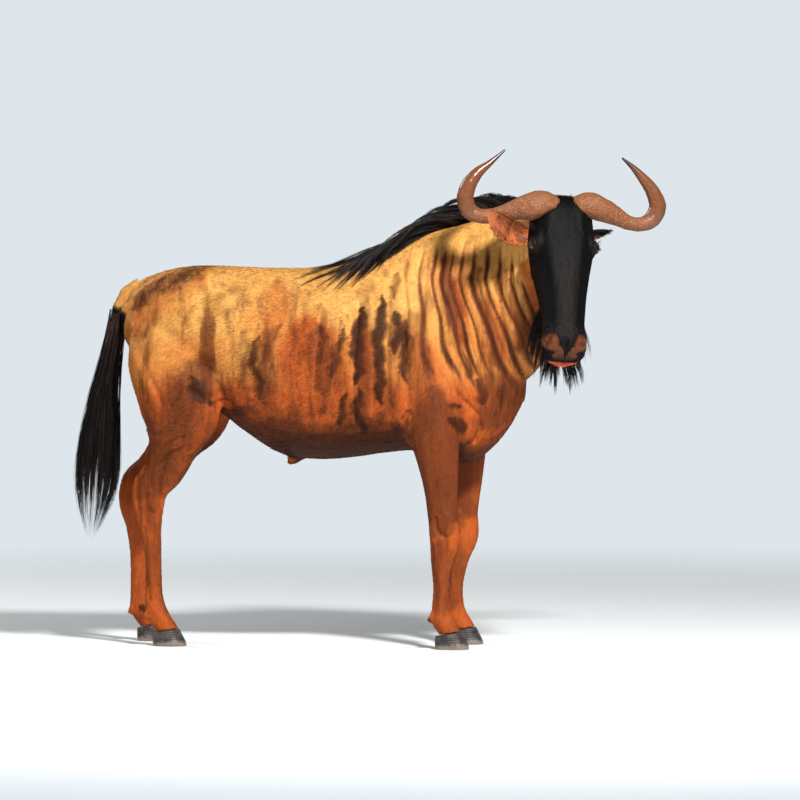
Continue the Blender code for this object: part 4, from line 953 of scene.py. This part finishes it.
def hairsAlong(paths, each, spread, flare, rng):  # many hairs round each lock's path
    paths = np.repeat(np.array(paths, float), each, axis=0)
    count, stations = paths.shape[:2]
    shares = np.linspace(0, 1, stations)
    cut = rng.uniform(0.7, 1.0, count)
    at = shares * cut[:, None] * (stations - 1)
    low = np.minimum(at.astype(int), stations - 2)
    rest = (at - low)[..., None]
    rows = np.arange(count)[:, None]
    paths = paths[rows, low] * (1 - rest) + paths[rows, low + 1] * rest
    tangents = unit(np.gradient(paths, axis=1))
    side = unit(np.cross(tangents, unit(rng.normal(0, 1, (count, 1, 3)))))
    radius = rng.random((count, 1)) ** 0.6
    wander = rng.normal(0, 1, (count, 1, 3))
    narrowing = np.interp(shares, [0, 0.3, 1.0], [1.0, 0.9, flare])
    paths = paths + side * (radius * spread * narrowing)[..., None]
    return paths + wander * (spread * 0.25 * shares**2)[None, :, None]


def hairMesh(name, paths, thick, rng, chart):  # closed three-sided tapered hairs
    count, stations = paths.shape[:2]
    rings = stations - 1
    tangents = unit(np.gradient(paths, axis=1))[:, :rings]
    side = unit(np.cross(tangents, (0.31, 0.52, 0.80)))
    up = np.cross(tangents, side)
    width = thick * rng.uniform(0.7, 1.3, (count, 1)) * np.interp(
        np.arange(rings) / rings, [0, 0.15, 0.6, 1.0], [0.7, 1.0, 0.8, 0.35])
    corners = []
    for turn in range(3):
        angle = turn * 2 * math.pi / 3
        corners.append(paths[:, :rings] + (side * math.cos(angle) + up * math.sin(angle)) * width[..., None])
    body = np.stack(corners, 2).reshape(count, rings * 3, 3)
    points = np.concatenate([body, paths[:, -1:]], axis=1)
    faces = [(2, 1, 0)]
    for turn in range(3):
        after = (turn + 1) % 3
        for row in range(0, (rings - 1) * 3, 3):
            faces.append((row + turn, row + after, row + 3 + after))
            faces.append((row + turn, row + 3 + after, row + 3 + turn))
        faces.append(((rings - 1) * 3 + turn, (rings - 1) * 3 + after, rings * 3))
    each = rings * 3 + 1
    every = (np.arange(count)[:, None, None] * each + np.array(faces)).reshape(-1, 3)
    piece = addMesh(name, points.reshape(-1, 3), every)
    along = np.append(np.repeat(np.arange(rings) / rings, 3), 1.0)
    keepMarks(piece, {"tint": np.repeat(rng.random(count), each), "along": np.tile(along, count)})
    half = tufts["patch"] / 2
    turns = np.append(np.tile([-half, 0.0, half], rings), 0.0)
    flat = chart(paths[:, 0])[:, None, :] + np.stack([turns, (along - 0.5) * 2 * half], 1)
    keepChart(piece, flat.reshape(-1, 2), every)
    piece.data.materials.append(darkHair)
    return piece


def lockMesh(name, paths, look, rng, chart):  # the hairs of many locks as one piece
    hairs = hairsAlong(paths, look["each"], look["spread"], look["flare"], rng)
    return hairMesh(name, hairs, look["thick"], rng, chart)


def headChart(roots):
    return through(toHead, roots)[:, :2] * 1.5 + (0.1, 0.5)


body = BVHTree.FromPolygons(pointsOf(skin).tolist(), trianglesOf(skin).tolist())

# The tail hangs behind the hocks, widest below its bone
tailHair = {
    "locks": 96, "each": 30, "spread": 0.011, "flare": 0.35, "thick": 0.00075,
    "edges": (  # height, then how far back and how far forward the hair reaches
        (1.135, -0.560, -0.560), (1.065, -0.622, -0.577), (1.000, -0.634, -0.584), (0.903, -0.656, -0.600),
        (0.806, -0.687, -0.606), (0.694, -0.716, -0.602), (0.565, -0.740, -0.598), (0.484, -0.742, -0.606),
        (0.387, -0.716, -0.655), (0.323, -0.694, -0.690),
    ),
    "depth": 0.052,
    "narrowed": ((0.33, 0.5, 0.8, 1.1), (0.25, 0.8, 1.0, 0.6)),  # share of the depth at each height
    "roots": (1.10, 0.26, 0.8),  # the highest, how far down they reach, and how they thin out
    "tips": ((0.318, 0.56), (0.52, 0.72)),  # heights between which long and short locks end
    "turn": 2.399,  # from lock to lock round the bone
}
heightEdges, backEdges, foreEdges = np.array(tailHair["edges"])[::-1].T
dockX, dockHeights, dockRadii = np.array(skinShape["dock"])[::-1].T
rng = np.random.default_rng(11)
paths = []
for i in range(tailHair["locks"]):
    top, fall, thinning = tailHair["roots"]
    high = top - fall * (i / tailHair["locks"]) ** thinning
    angle = i * tailHair["turn"] + rng.uniform(-0.3, 0.3)
    reach = rng.uniform(0.25, 1.0) ** 0.35
    longest, shortest = tailHair["tips"]
    low = rng.uniform(*longest) if rng.random() < 0.75 else rng.uniform(*shortest)
    heights = np.linspace(high, low, hair["stations"])
    backEdge = np.interp(heights, heightEdges, backEdges)
    foreEdge = np.interp(heights, heightEdges, foreEdges)
    opened = ease(heights, high, high - 0.16)
    bone = np.interp(heights, dockHeights, dockX)
    boneRadius = np.interp(heights, dockHeights, dockRadii) * 0.9
    middleX, half = (backEdge + foreEdge) / 2, (foreEdge - backEdge) / 2 + 0.004
    x = (bone + math.cos(angle) * boneRadius) * (1 - opened)
    x = x + (middleX + math.cos(angle) * half * reach) * opened
    depth = tailHair["depth"] * np.interp(heights, *tailHair["narrowed"])
    y = math.sin(angle) * (boneRadius * (1 - opened) + depth * reach * opened)
    paths.append(np.stack([trunk.x + x, trunk.y + y, heights], 1))


def tailChart(roots):
    around = np.arctan2(roots[:, 1] - trunk.y, roots[:, 0] - trunk.x + 0.61) / 7 + 0.5
    return np.stack([around, roots[:, 2] - 0.4], 1)


tail = lockMesh("tail_hair", paths, tailHair, rng, tailChart)

# The mane grows along the crest: it stands on the neck, then lies back and falls, more to the right side
maneHair = {
    "locks": 190, "each": 18, "spread": 0.0085, "flare": 0.35, "thick": 0.0008,
    "crest": (
        (0.835, -0.120, 1.440), (0.790, -0.085, 1.440), (0.740, -0.052, 1.430), (0.670, -0.022, 1.405),
        (0.600, -0.008, 1.380), (0.530, 0.000, 1.365), (0.460, 0.000, 1.350), (0.390, 0.000, 1.332),
        (0.320, 0.000, 1.305), (0.265, 0.000, 1.280),
    ),
    "fall": ((0, 0.35, 0.55, 0.75, 0.9, 1.0), (0.05, 0.08, 0.50, 0.85, 0.50, 0.10)),
    "rise": ((0, 0.18, 0.4, 0.6, 0.8, 1.0), (0.10, 0.45, 1.15, 0.60, 0.12, 0.02)),
    "length": ((0, 0.3, 0.6, 0.8, 1.0), (0.11, 0.18, 0.26, 0.32, 0.36)),
}
rng = np.random.default_rng(5)
crest = np.array(maneHair["crest"]) + (trunk.x, trunk.y, 0)
steps = np.concatenate([[0], np.cumsum(np.linalg.norm(np.diff(crest, axis=0), axis=1))])
steps = steps / steps[-1]


def onCrestLine(share):
    return Vector([np.interp(share, steps, crest[:, axis]) for axis in range(3)])


paths = []
for i in range(maneHair["locks"]):
    share = (i + rng.random()) / maneHair["locks"]
    behind = (onCrestLine(share + 0.02) - onCrestLine(share - 0.02)).normalized()
    near = body.find_nearest(onCrestLine(share) + Vector((0, 0, 0.1)))[0]
    side = rng.choice((-1, -1, 1)) if share > 0.5 else rng.choice((-1, 1))
    fall, rise, length = (float(np.interp(share, *maneHair[key])) for key in ("fall", "rise", "length"))
    out, up = Vector((0, side, 0)), Vector((0, 0, 1))
    root = near + Vector((0, side * rng.uniform(0.0, 0.012), -0.003))
    lie = [
        behind * 0.6 + up * rise + out * (0.20 + fall * 0.6),
        behind + up * (rise * 0.50 - fall * 0.4) + out * fall * 0.7,
        behind * 0.8 - up * (0.10 + fall * 0.9) + out * fall * 0.5,
        behind * 0.7 - up * (0.30 + fall * 1.1) + out * fall * 0.2,
    ]
    lie = [heading + Vector(rng.normal(0, 0.10, 3)) for heading in lie]
    paths.append(lockPath(root, lie, length * rng.uniform(0.6, 1.25), body, 0.006, hair["stations"]))
mane = lockMesh(
    "mane_hair", paths, maneHair, rng, lambda roots: (roots[:, :2] - (trunk.x, trunk.y)) * 1.2 + (-0.1, 0.5))

# The beard under the jaw and down the throat
beardHair = {
    "locks": 80, "each": 22, "spread": 0.008, "flare": 0.4, "thick": 0.0007,
    "jaw": ((0.215, 0.300, 0.380, 0.450, 0.500), (-0.218, -0.172, -0.140, -0.124, -0.116)),
    "length": ((0, 0.5, 1.0), (0.24, 0.20, 0.13)),
    "from": 0.24,  # down the face
    "span": 0.265,
}
rng = np.random.default_rng(9)
out = headSpace.to_3x3() @ Vector((0, 1, 0))
away = headSpace.to_3x3() @ Vector((0, 0, -1))
away.z = 0
paths = []
for i in range(beardHair["locks"]):
    share = (i + rng.random()) / beardHair["locks"]
    at = beardHair["from"] + beardHair["span"] * share
    spread = rng.uniform(-1, 1)
    root = headSpace @ Vector((at, spread * 0.024, float(np.interp(at, *beardHair["jaw"])) - 0.004))
    length = float(np.interp(share, *beardHair["length"])) * rng.uniform(0.6, 1.06)
    lie = [
        away * 0.6 + out * (spread * 0.85 + 0.12) + Vector((0, 0, -0.6)),
        away * 0.1 + out * (spread * 0.55 + 0.12) + Vector((0, 0, -1)),
        out * (spread * 0.30 + 0.04) + Vector((0.02, 0, -1)),
        out * spread * 0.05 + Vector((-0.02, 0, -1)),
    ]
    paths.append(lockPath(root, lie, length, body, 0.005, hair["stations"]))
beard = lockMesh("beard_hair", paths, beardHair, rng, headChart)
print("long hair grown")


# The horns: rough bosses on the crown, then smooth sweeps to dark tips. Out, down, forward, half thickness.
horns = {
    "horn_right": (
        (0.018, 0.048, -0.050, 0.020), (0.042, 0.030, -0.030, 0.036), (0.071, 0.026, -0.025, 0.043),
        (0.104, 0.036, -0.026, 0.045), (0.136, 0.044, -0.030, 0.038), (0.165, 0.053, -0.034, 0.031),
        (0.228, 0.073, -0.044, 0.0238), (0.264, 0.077, -0.048, 0.0240), (0.300, 0.063, -0.050, 0.0270),
        (0.315, 0.028, -0.050, 0.0275), (0.305, -0.017, -0.048, 0.0250), (0.278, -0.057, -0.047, 0.0190),
        (0.236, -0.093, -0.048, 0.0105), (0.186, -0.138, -0.050, 0.0035),
    ),
    "horn_left": (
        (0.028, 0.044, -0.050, 0.020), (0.050, 0.026, -0.030, 0.034), (0.082, 0.022, -0.025, 0.042),
        (0.120, 0.033, -0.026, 0.039), (0.170, 0.051, -0.034, 0.031), (0.214, 0.070, -0.042, 0.0235),
        (0.252, 0.073, -0.047, 0.0235), (0.290, 0.056, -0.050, 0.0270), (0.310, 0.014, -0.050, 0.0280),
        (0.297, -0.027, -0.048, 0.0240), (0.258, -0.078, -0.047, 0.0160), (0.228, -0.108, -0.048, 0.0095),
        (0.194, -0.135, -0.050, 0.0035),
    ),
    "rings": 240,
    "sides": 64,
    "roughTo": 0.52,  # share of the horn's length that is rough
    "lump": 0.0016,
}
hornTones = {
    "boss": tone(120, 67, 35),
    "pit": tone(112, 64, 36),
    "speck": tone(196, 140, 84),
    "sweep": tone(112, 62, 33),
    "grey": tone(104, 78, 60),
    "tip": tone(40, 31, 26),
}


def flowing(rows, count):  # rows read at even steps along a smooth curve through the given ones
    given = np.array(rows, float)
    at = np.concatenate([[0.0], np.cumsum(np.linalg.norm(np.diff(given[:, :3], axis=0), axis=1))])
    slopes = np.gradient(given, at, axis=0)
    wanted = np.linspace(0.0, at[-1], count)
    before = np.clip(np.searchsorted(at, wanted, side="right") - 1, 0, len(at) - 2)
    span = (at[before + 1] - at[before])[:, None]
    t = (wanted - at[before])[:, None] / span
    return (
        (2 * t**3 - 3 * t**2 + 1) * given[before] + (t**3 - 2 * t**2 + t) * span * slopes[before]
        + (3 * t**2 - 2 * t**3) * given[before + 1] + (t**3 - t**2) * span * slopes[before + 1]
    )


def lumps(places, scale, seed):  # a soft uneven value at each place, about -1 to 1
    return np.array([noise.noise(Vector(place) * scale + Vector((seed, 0, 0))) for place in places])


hornCoat, start, place = newMaterial("horn")
along = mark(start, "along")
grain, speckle = place.noise(95.0, 5.0), place.noise(230.0, 3.0)
rough = (along + (place.noise(30.0) - 0.5) * 0.10).between(horns["roughTo"] + 0.05, horns["roughTo"] - 0.06)
bossColour = (grain * 0.6 + speckle * 0.4).between(0.38, 0.58).mix(hornTones["pit"], hornTones["boss"])
specks = place.noise(300.0, 3.0).between(0.56, 0.66) * (0.2 + grain)
bossColour = specks.mix(bossColour, hornTones["speck"])
lengthwise = place.noise(40.0, 4.0)
sweepColour = (lengthwise.between(0.30, 0.75) * 0.55).mix(hornTones["sweep"], hornTones["grey"])
sweepColour = (along + (lengthwise - 0.5) * 0.12).between(0.82, 0.99).mix(sweepColour, hornTones["tip"])
surface(start, {
    "Base Color": rough.mix(sweepColour, bossColour),
    "Roughness": rough * 0.42 + 0.24 + (speckle - 0.5) * 0.08,
    "Specular IOR Level": 0.45,
    "Normal": ((grain * 0.9 + speckle * 0.7) * rough + lengthwise * 0.12).bump(0.0022, 0.8),
})

facing = math.radians(stance["turn"])
faceOn = np.array([math.cos(facing), math.sin(facing), 0])
faceLeft = np.array([-math.sin(facing), math.cos(facing), 0])
hornPieces = []
for name, side in (("horn_right", -1), ("horn_left", 1)):
    rows = []
    for lateral, down, forward, thick in horns[name]:
        centre = np.array(trunk) + stance["crown"] + faceLeft * side * lateral + faceOn * forward
        centre[2] += side * lateral * math.tan(math.radians(stance["tilt"])) - down
        rows.append((*centre, thick * (1.15 if lateral < 0.15 and down > 0 else 1.0), thick))
    flow = flowing(rows, horns["rings"])
    tangents = unit(np.gradient(flow[:, :3], axis=0))
    sideways = unit(faceOn - tangents * (tangents @ faceOn)[:, None])
    frontways = np.cross(tangents, sideways)
    turns = np.arange(horns["sides"]) * 2 * math.pi / horns["sides"]
    rings = (
        flow[:, None, :3] + np.cos(turns)[None, :, None] * (sideways * flow[:, 3:4])[:, None]
        + np.sin(turns)[None, :, None] * (frontways * flow[:, 4:5])[:, None]
    )
    points, faces = loft(rings)
    along = np.append(np.repeat(np.linspace(0, 1, horns["rings"]), horns["sides"]), [0, 1])
    piece = addMesh(name + "_horn", points, faces)
    uneven = ease(along, horns["roughTo"] + 0.03, horns["roughTo"] - 0.10)
    lumpy = lumps(points, 38.0, 3.0) + 0.6 * lumps(points, 90.0, 7.0)
    waves = np.sin(along * 150) * ease(along, 0.45, 0.55) * ease(along, 0.85, 0.70) * 0.0003
    setPoints(piece, points + normalsOf(piece) * (lumpy * uneven * horns["lump"] + waves - 0.0006)[:, None])
    keepMarks(piece, {"along": along})
    piece.data.materials.append(hornCoat)
    hornPieces.append(piece)
print("horns made")


# The eyes: wet dark balls behind the lids
eyeLook = {
    "ball": tone(24, 15, 11),
    "iris": tone(58, 33, 18),
    "pupil": tone(6, 5, 5),
    "irisTurn": 0.62,  # how far the iris reaches from the sight, in radians
    "pupilHalf": (0.30, 0.17),
}
eyeCoat, start, place = newMaterial("eye")
toSight = mark(start, "sightTurn")
grain = place.noise(900.0, 4.0)
ring = (toSight + (grain - 0.5) * 0.08).between(eyeLook["irisTurn"] + 0.04, eyeLook["irisTurn"] - 0.06)
eyeColour = (ring * (0.6 + 0.4 * grain)).mix(eyeLook["ball"], eyeLook["iris"])
eyeColour = mark(start, "pupil").between(0.35, 0.65).mix(eyeColour, eyeLook["pupil"])
surface(start, {
    "Base Color": eyeColour,
    "Roughness": grain * 0.04 + 0.04,
    "Specular IOR Level": 0.6,
    "Coat Weight": 1.0,
    "Coat Roughness": 0.02,
})
eyePieces = []
for label, (centre, sight, over) in eyes.items():
    points, faces = ball(np.zeros(3), np.full(3, eyeShape["radius"]), 72, 96)
    toward = points / eyeShape["radius"]
    straight = np.cross(over, sight)
    x, y, z = toward @ straight, toward @ over, np.clip(toward @ sight, -1, 1)
    sightTurn = np.arccos(z)
    wide, high = eyeLook["pupilHalf"]
    pupil = ease(np.hypot(x / wide, y / high), 1.15, 0.85) * (z > 0)
    bulge = 0.0007 * ease(sightTurn, 0.60, 0.35)
    piece = addMesh(f"eye_{label}_ball", through(headSpace, centre + points + toward * bulge[:, None]), faces)
    keepMarks(piece, {"sightTurn": sightTurn, "pupil": pupil})
    piece.data.materials.append(eyeCoat)
    eyePieces.append(piece)

# The lashes and the few stiff hairs on the chin and lips
lashHair = {"each": 34, "whiskers": 70, "length": 0.020, "thick": 0.0005}
rng = np.random.default_rng(23)
paths = []
shares = np.linspace(0, 1, 6)[:, None]
for label, (centre, sight, over) in eyes.items():
    straight = np.cross(over, sight)
    for _ in range(lashHair["each"]):
        turn = rng.uniform(0.35, math.pi - 0.35)
        lid = sight * 0.86 + straight * math.cos(turn) * 0.62 + over * (0.28 + 0.34 * math.sin(turn))
        root = centre + unit(lid) * (eyeShape["radius"] + 0.0025)
        grow = unit(sight * 0.9 + over * 0.55 + straight * math.cos(turn) * 0.5)
        length = lashHair["length"] * rng.uniform(0.6, 1.1)
        path = root + grow * shares * length - over * shares**2 * length * 0.45
        paths.append(through(headSpace, path))
for _ in range(lashHair["whiskers"]):
    side = rng.uniform(-1, 1)
    root = Vector((rng.uniform(0.44, 0.515), side * 0.045, rng.uniform(-0.11, -0.06)))
    near = body.find_nearest(headSpace @ root)
    down = Vector((0, 0, -1)) + near[1] * rng.uniform(0.8, 1.6)
    length = rng.uniform(0.018, 0.045)
    path = np.array(near[0]) + np.array(down.normalized()) * shares * length
    paths.append(path - np.array((0, 0, 0.4)) * shares**2 * length)
lashes = hairMesh("lashes_and_whiskers", np.array(paths), lashHair["thick"], rng, headChart)

# The ears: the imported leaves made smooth, orange-brown in the cup, black behind, with a fringe of hair
earLook = {
    "places": {
        "ear_right": ((0.112, -0.080, -0.108), (0.073, -0.270, 0.018), (0.25, -0.10, 1.0)),
        "ear_left": ((0.106, 0.080, -0.112), (0.020, 0.184, -0.200), (0.45, 0.60, -0.60)),
    },
    "width": (
        (0, 0.12, 0.3, 0.5, 0.7, 0.85, 0.95, 1.0), (0.022, 0.027, 0.038, 0.043, 0.038, 0.026, 0.013, 0.003),
    ),
    "sag": 0.014,
    "inside": tone(186, 94, 38),
    "deep": tone(52, 26, 16),
    "outside": tone(34, 24, 19),
    "rim": tone(120, 70, 40),
    "voxel": 0.0016,
    "edgeHairs": (420, 0.011),  # how many along each rim, and how long
    "cupHairs": (260, 0.022),
}
earCoat, start, place = newMaterial("ear")
cup, toRim = mark(start, "cup"), mark(start, "rim")
soft, hairy = place.noise(42.0, 4.0), place.noise(380.0, 3.0, (1.0, 1.0, 0.3))
inside = (soft + (hairy - 0.5) * 0.8).between(0.25, 0.75).mix(earLook["inside"], earLook["deep"])
inside = mark(start, "deep").mix(earLook["inside"], inside)
earColour = cup.between(0.3, 0.7).mix(earLook["outside"], inside)
earColour = (toRim * 0.6).mix(earColour, earLook["rim"])
surface(start, {
    "Base Color": earColour,
    "Roughness": 0.68 - soft * 0.1,
    "Specular IOR Level": 0.3,
    "Sheen Weight": 0.2,
    "Normal": (hairy * 0.8 + soft * 0.6).bump(0.0012, 0.8),
})
rng = np.random.default_rng(31)
shares = np.linspace(0, 1, 5)[:, None]
earPieces, fringes = [], []
for node, (root, tip, opening) in earLook["places"].items():
    piece = remeshed(joined(node + "_skin", [solidOf(node)]), earLook["voxel"])
    relax(piece, 14, np.ones(len(piece.data.vertices)))
    there = through(toHead, pointsOf(piece))
    facing = through(toHead.to_3x3().to_4x4(), normalsOf(piece))
    along = unit(np.array(tip) - root)
    opening = unit(np.array(opening) - along * (np.array(opening) @ along))
    across = np.cross(along, opening)
    length = np.linalg.norm(np.array(tip) - root)
    share = (there - root) @ along / length
    sag = earLook["sag"] * np.sin(np.pi * np.clip(share, 0, 1)) * across[0]
    off = np.abs((there - root) @ across - sag) / np.interp(share, *earLook["width"])
    cupped = ease(facing @ opening, 0.0, 0.35)
    keepMarks(piece, {
        "cup": cupped,
        "rim": ease(off, 0.78, 0.96) * ease(share, 0.15, 0.3),
        "deep": cupped * ease(off, 0.75, 0.25) * ease(share, 0.85, 0.45),
    })
    piece.data.materials.append(earCoat)
    earPieces.append(piece)
    points, normals = pointsOf(piece), normalsOf(piece)
    turnedAlong, turnedOpening = np.array(headSpace.to_3x3()) @ along, np.array(headSpace.to_3x3()) @ opening
    edge = np.flatnonzero((off > 0.80) & (share > 0.12) & (share < 1.0))
    inCup = np.flatnonzero((cupped > 0.6) & (off > 0.35) & (off < 0.85) & (share > 0.1) & (share < 0.75))
    for chosen, (count, long) in ((edge, earLook["edgeHairs"]), (inCup, earLook["cupHairs"])):
        for index in rng.choice(chosen, count):
            grow = normals[index] * 0.5 + turnedAlong * 0.8 + turnedOpening * 0.35
            grow = unit(grow + rng.normal(0, 0.18, 3))
            fringes.append(points[index] + grow * shares * long * rng.uniform(0.5, 1.1)
                           + turnedAlong * shares**2 * long * 0.3)
earFringe = hairMesh("ear_fringe", np.array(fringes), 0.0004, rng, headChart)
print("eyes and ears made")

# The hooves: growth rings round each wall, worn paler at the toe
hoofLook = {
    "wall": tone(78, 70, 66),
    "worn": tone(128, 116, 104),
    "dark": tone(38, 34, 32),
    "voxel": 0.0018,
    "wave": 0.00035,
}
hoofCoat, start, place = newMaterial("hoof")
height = place.height()
stain, grooves = place.noise(38.0, 4.0), place.noise(210.0, 3.0, (0.25, 0.25, 1.0))
rings = place.noise(150.0, 2.0, (0.10, 0.10, 1.0))
hoofColour = stain.between(0.35, 0.65).mix(hoofLook["wall"], hoofLook["dark"])
hoofColour = (height + (stain - 0.5) * 0.03).between(0.022, 0.004).mix(hoofColour, hoofLook["worn"])
surface(start, {
    "Base Color": (rings.between(0.52, 0.70) * 0.5).mix(hoofColour, hoofLook["dark"]),
    "Roughness": stain * 0.25 + 0.40,
    "Specular IOR Level": 0.4,
    "Normal": (rings * 1.0 + grooves * 0.5).bump(0.0014, 0.8),
})
hoofPieces = []
for node in ("hoof_fore_right", "hoof_fore_left", "hoof_hind_right", "hoof_hind_left"):
    piece = remeshed(joined(node + "_wall", [solidOf(node)]), hoofLook["voxel"])
    points = pointsOf(piece)
    relax(piece, 10, ease(points[:, 2], 0.001, 0.006))
    points, normals = pointsOf(piece), normalsOf(piece)
    wave = np.sin(points[:, 2] * 820 + 1.5 * np.sin(points[:, 0] * 30)) * hoofLook["wave"]
    wave = wave * ease(points[:, 2], 0.006, 0.014)
    sideways = ease(np.linalg.norm(normals[:, :2], axis=1), 0.5, 0.9)
    setPoints(piece, points + normals * (wave * sideways)[:, None])
    piece.data.materials.append(hoofCoat)
    hoofPieces.append(piece)
print("hooves made")

# The floor, the light and the camera
studio = {
    "floor": tone(238, 240, 240),
    "backdrop": tone(222, 230, 235),
    "floorFade": (2.4, 6.5),  # the floor melts into the backdrop between these distances
    "ambient": 0.17,
    "radius": 12,
    "sides": 96,
}
turns = np.arange(studio["sides"]) * 2 * math.pi / studio["sides"]
rim = studio["radius"] * np.stack([np.cos(turns), np.sin(turns)], 1)
floor = addMesh("floor", np.insert(rim, 2, -0.0005, axis=1), [range(studio["sides"])], smooth=False)
floorPaint, start, place = newMaterial("pale floor")
away = place.node("VectorMath", {"operation": "LENGTH"}, {0: place}, 1)
fade = away.between(*studio["floorFade"])
plain = start.node("BsdfPrincipled", {}, {"Base Color": studio["floor"], "Roughness": 0.9})
clear = start.node("BsdfTransparent")
start.node("OutputMaterial", {}, {"Surface": start.node("MixShader", {}, {0: fade, 1: plain, 2: clear})})
floor.data.materials.append(floorPaint)

world = bpy.data.worlds.new("studio")
world.use_nodes = True
world.node_tree.nodes.clear()
start = Wire(world.node_tree)
seen = start.node("LightPath", output="Is Camera Ray")
strength = seen * (1.0 - studio["ambient"]) + studio["ambient"]
behindAll = start.node("Background", {}, {"Color": studio["backdrop"], "Strength": strength})
start.node("OutputWorld", {}, {"Surface": behindAll})
bpy.context.scene.world = world



def placed(name, data, azimuth, elevation, distance):  # degrees round from the side and up, facing the animal
    turned, raised = math.radians(azimuth), math.radians(elevation)
    flat = math.cos(raised)
    toward = Vector((math.sin(turned) * flat, -math.cos(turned) * flat, math.sin(raised)))
    made = bpy.data.objects.new(name, data)
    made.location = trunk + Vector(view["aim"]) + toward * distance
    made.rotation_euler = (-toward).to_track_quat("-Z", "Y").to_euler()
    bpy.context.scene.collection.objects.link(made)
    return made


def softLight(name, azimuth, elevation, distance, size, watts):  # degrees round from the camera and up
    lamp = placed(name, bpy.data.lights.new(name, "AREA"), view["azimuth"] + azimuth, elevation, distance)
    lamp.data.size = size
    lamp.data.energy = watts


softLight("key", 20, 38, 7.0, 0.8, 780)
softLight("rim", -120, 35, 7.0, 3.0, 200)
softLight("fill", -50, 20, 8.0, 4.0, 70)

optics = bpy.data.cameras.new("camera")
optics.lens = optics.sensor_width * view["distance"] / view["width"]
optics.clip_end = 200
bpy.context.scene.camera = placed("camera", optics, view["azimuth"], view["elevation"], view["distance"])
bpy.context.scene.view_settings.view_transform = "Standard"

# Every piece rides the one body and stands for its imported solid
worn = [
    (skin, "hide", fleshNodes),
    (tail, "hair", ["tail"]), (mane, "hair", ["mane"]), (beard, "hair", ["beard"]),
    (lashes, "hair", []), (earFringe, "hide", []),
]
worn += [(piece, "face" if piece.name == "face_coat" else "hide", []) for piece in coatPieces]
worn += [(piece, "horn", [name]) for piece, name in zip(hornPieces, ("horn_right", "horn_left"))]
worn += [(piece, "eye", ["eye_" + label]) for piece, label in zip(eyePieces, eyes)]
worn += [(piece, "hide", [name]) for piece, name in zip(earPieces, earLook["places"])]
worn += [(piece, "hoof", [piece.name.removesuffix("_wall")]) for piece in hoofPieces]
for piece, finish, nodes in worn:
    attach(piece, "root")
    if nodes:
        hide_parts(*nodes)

print("triangles in all:", sum(len(piece.data.polygons) for piece, _, _ in worn))
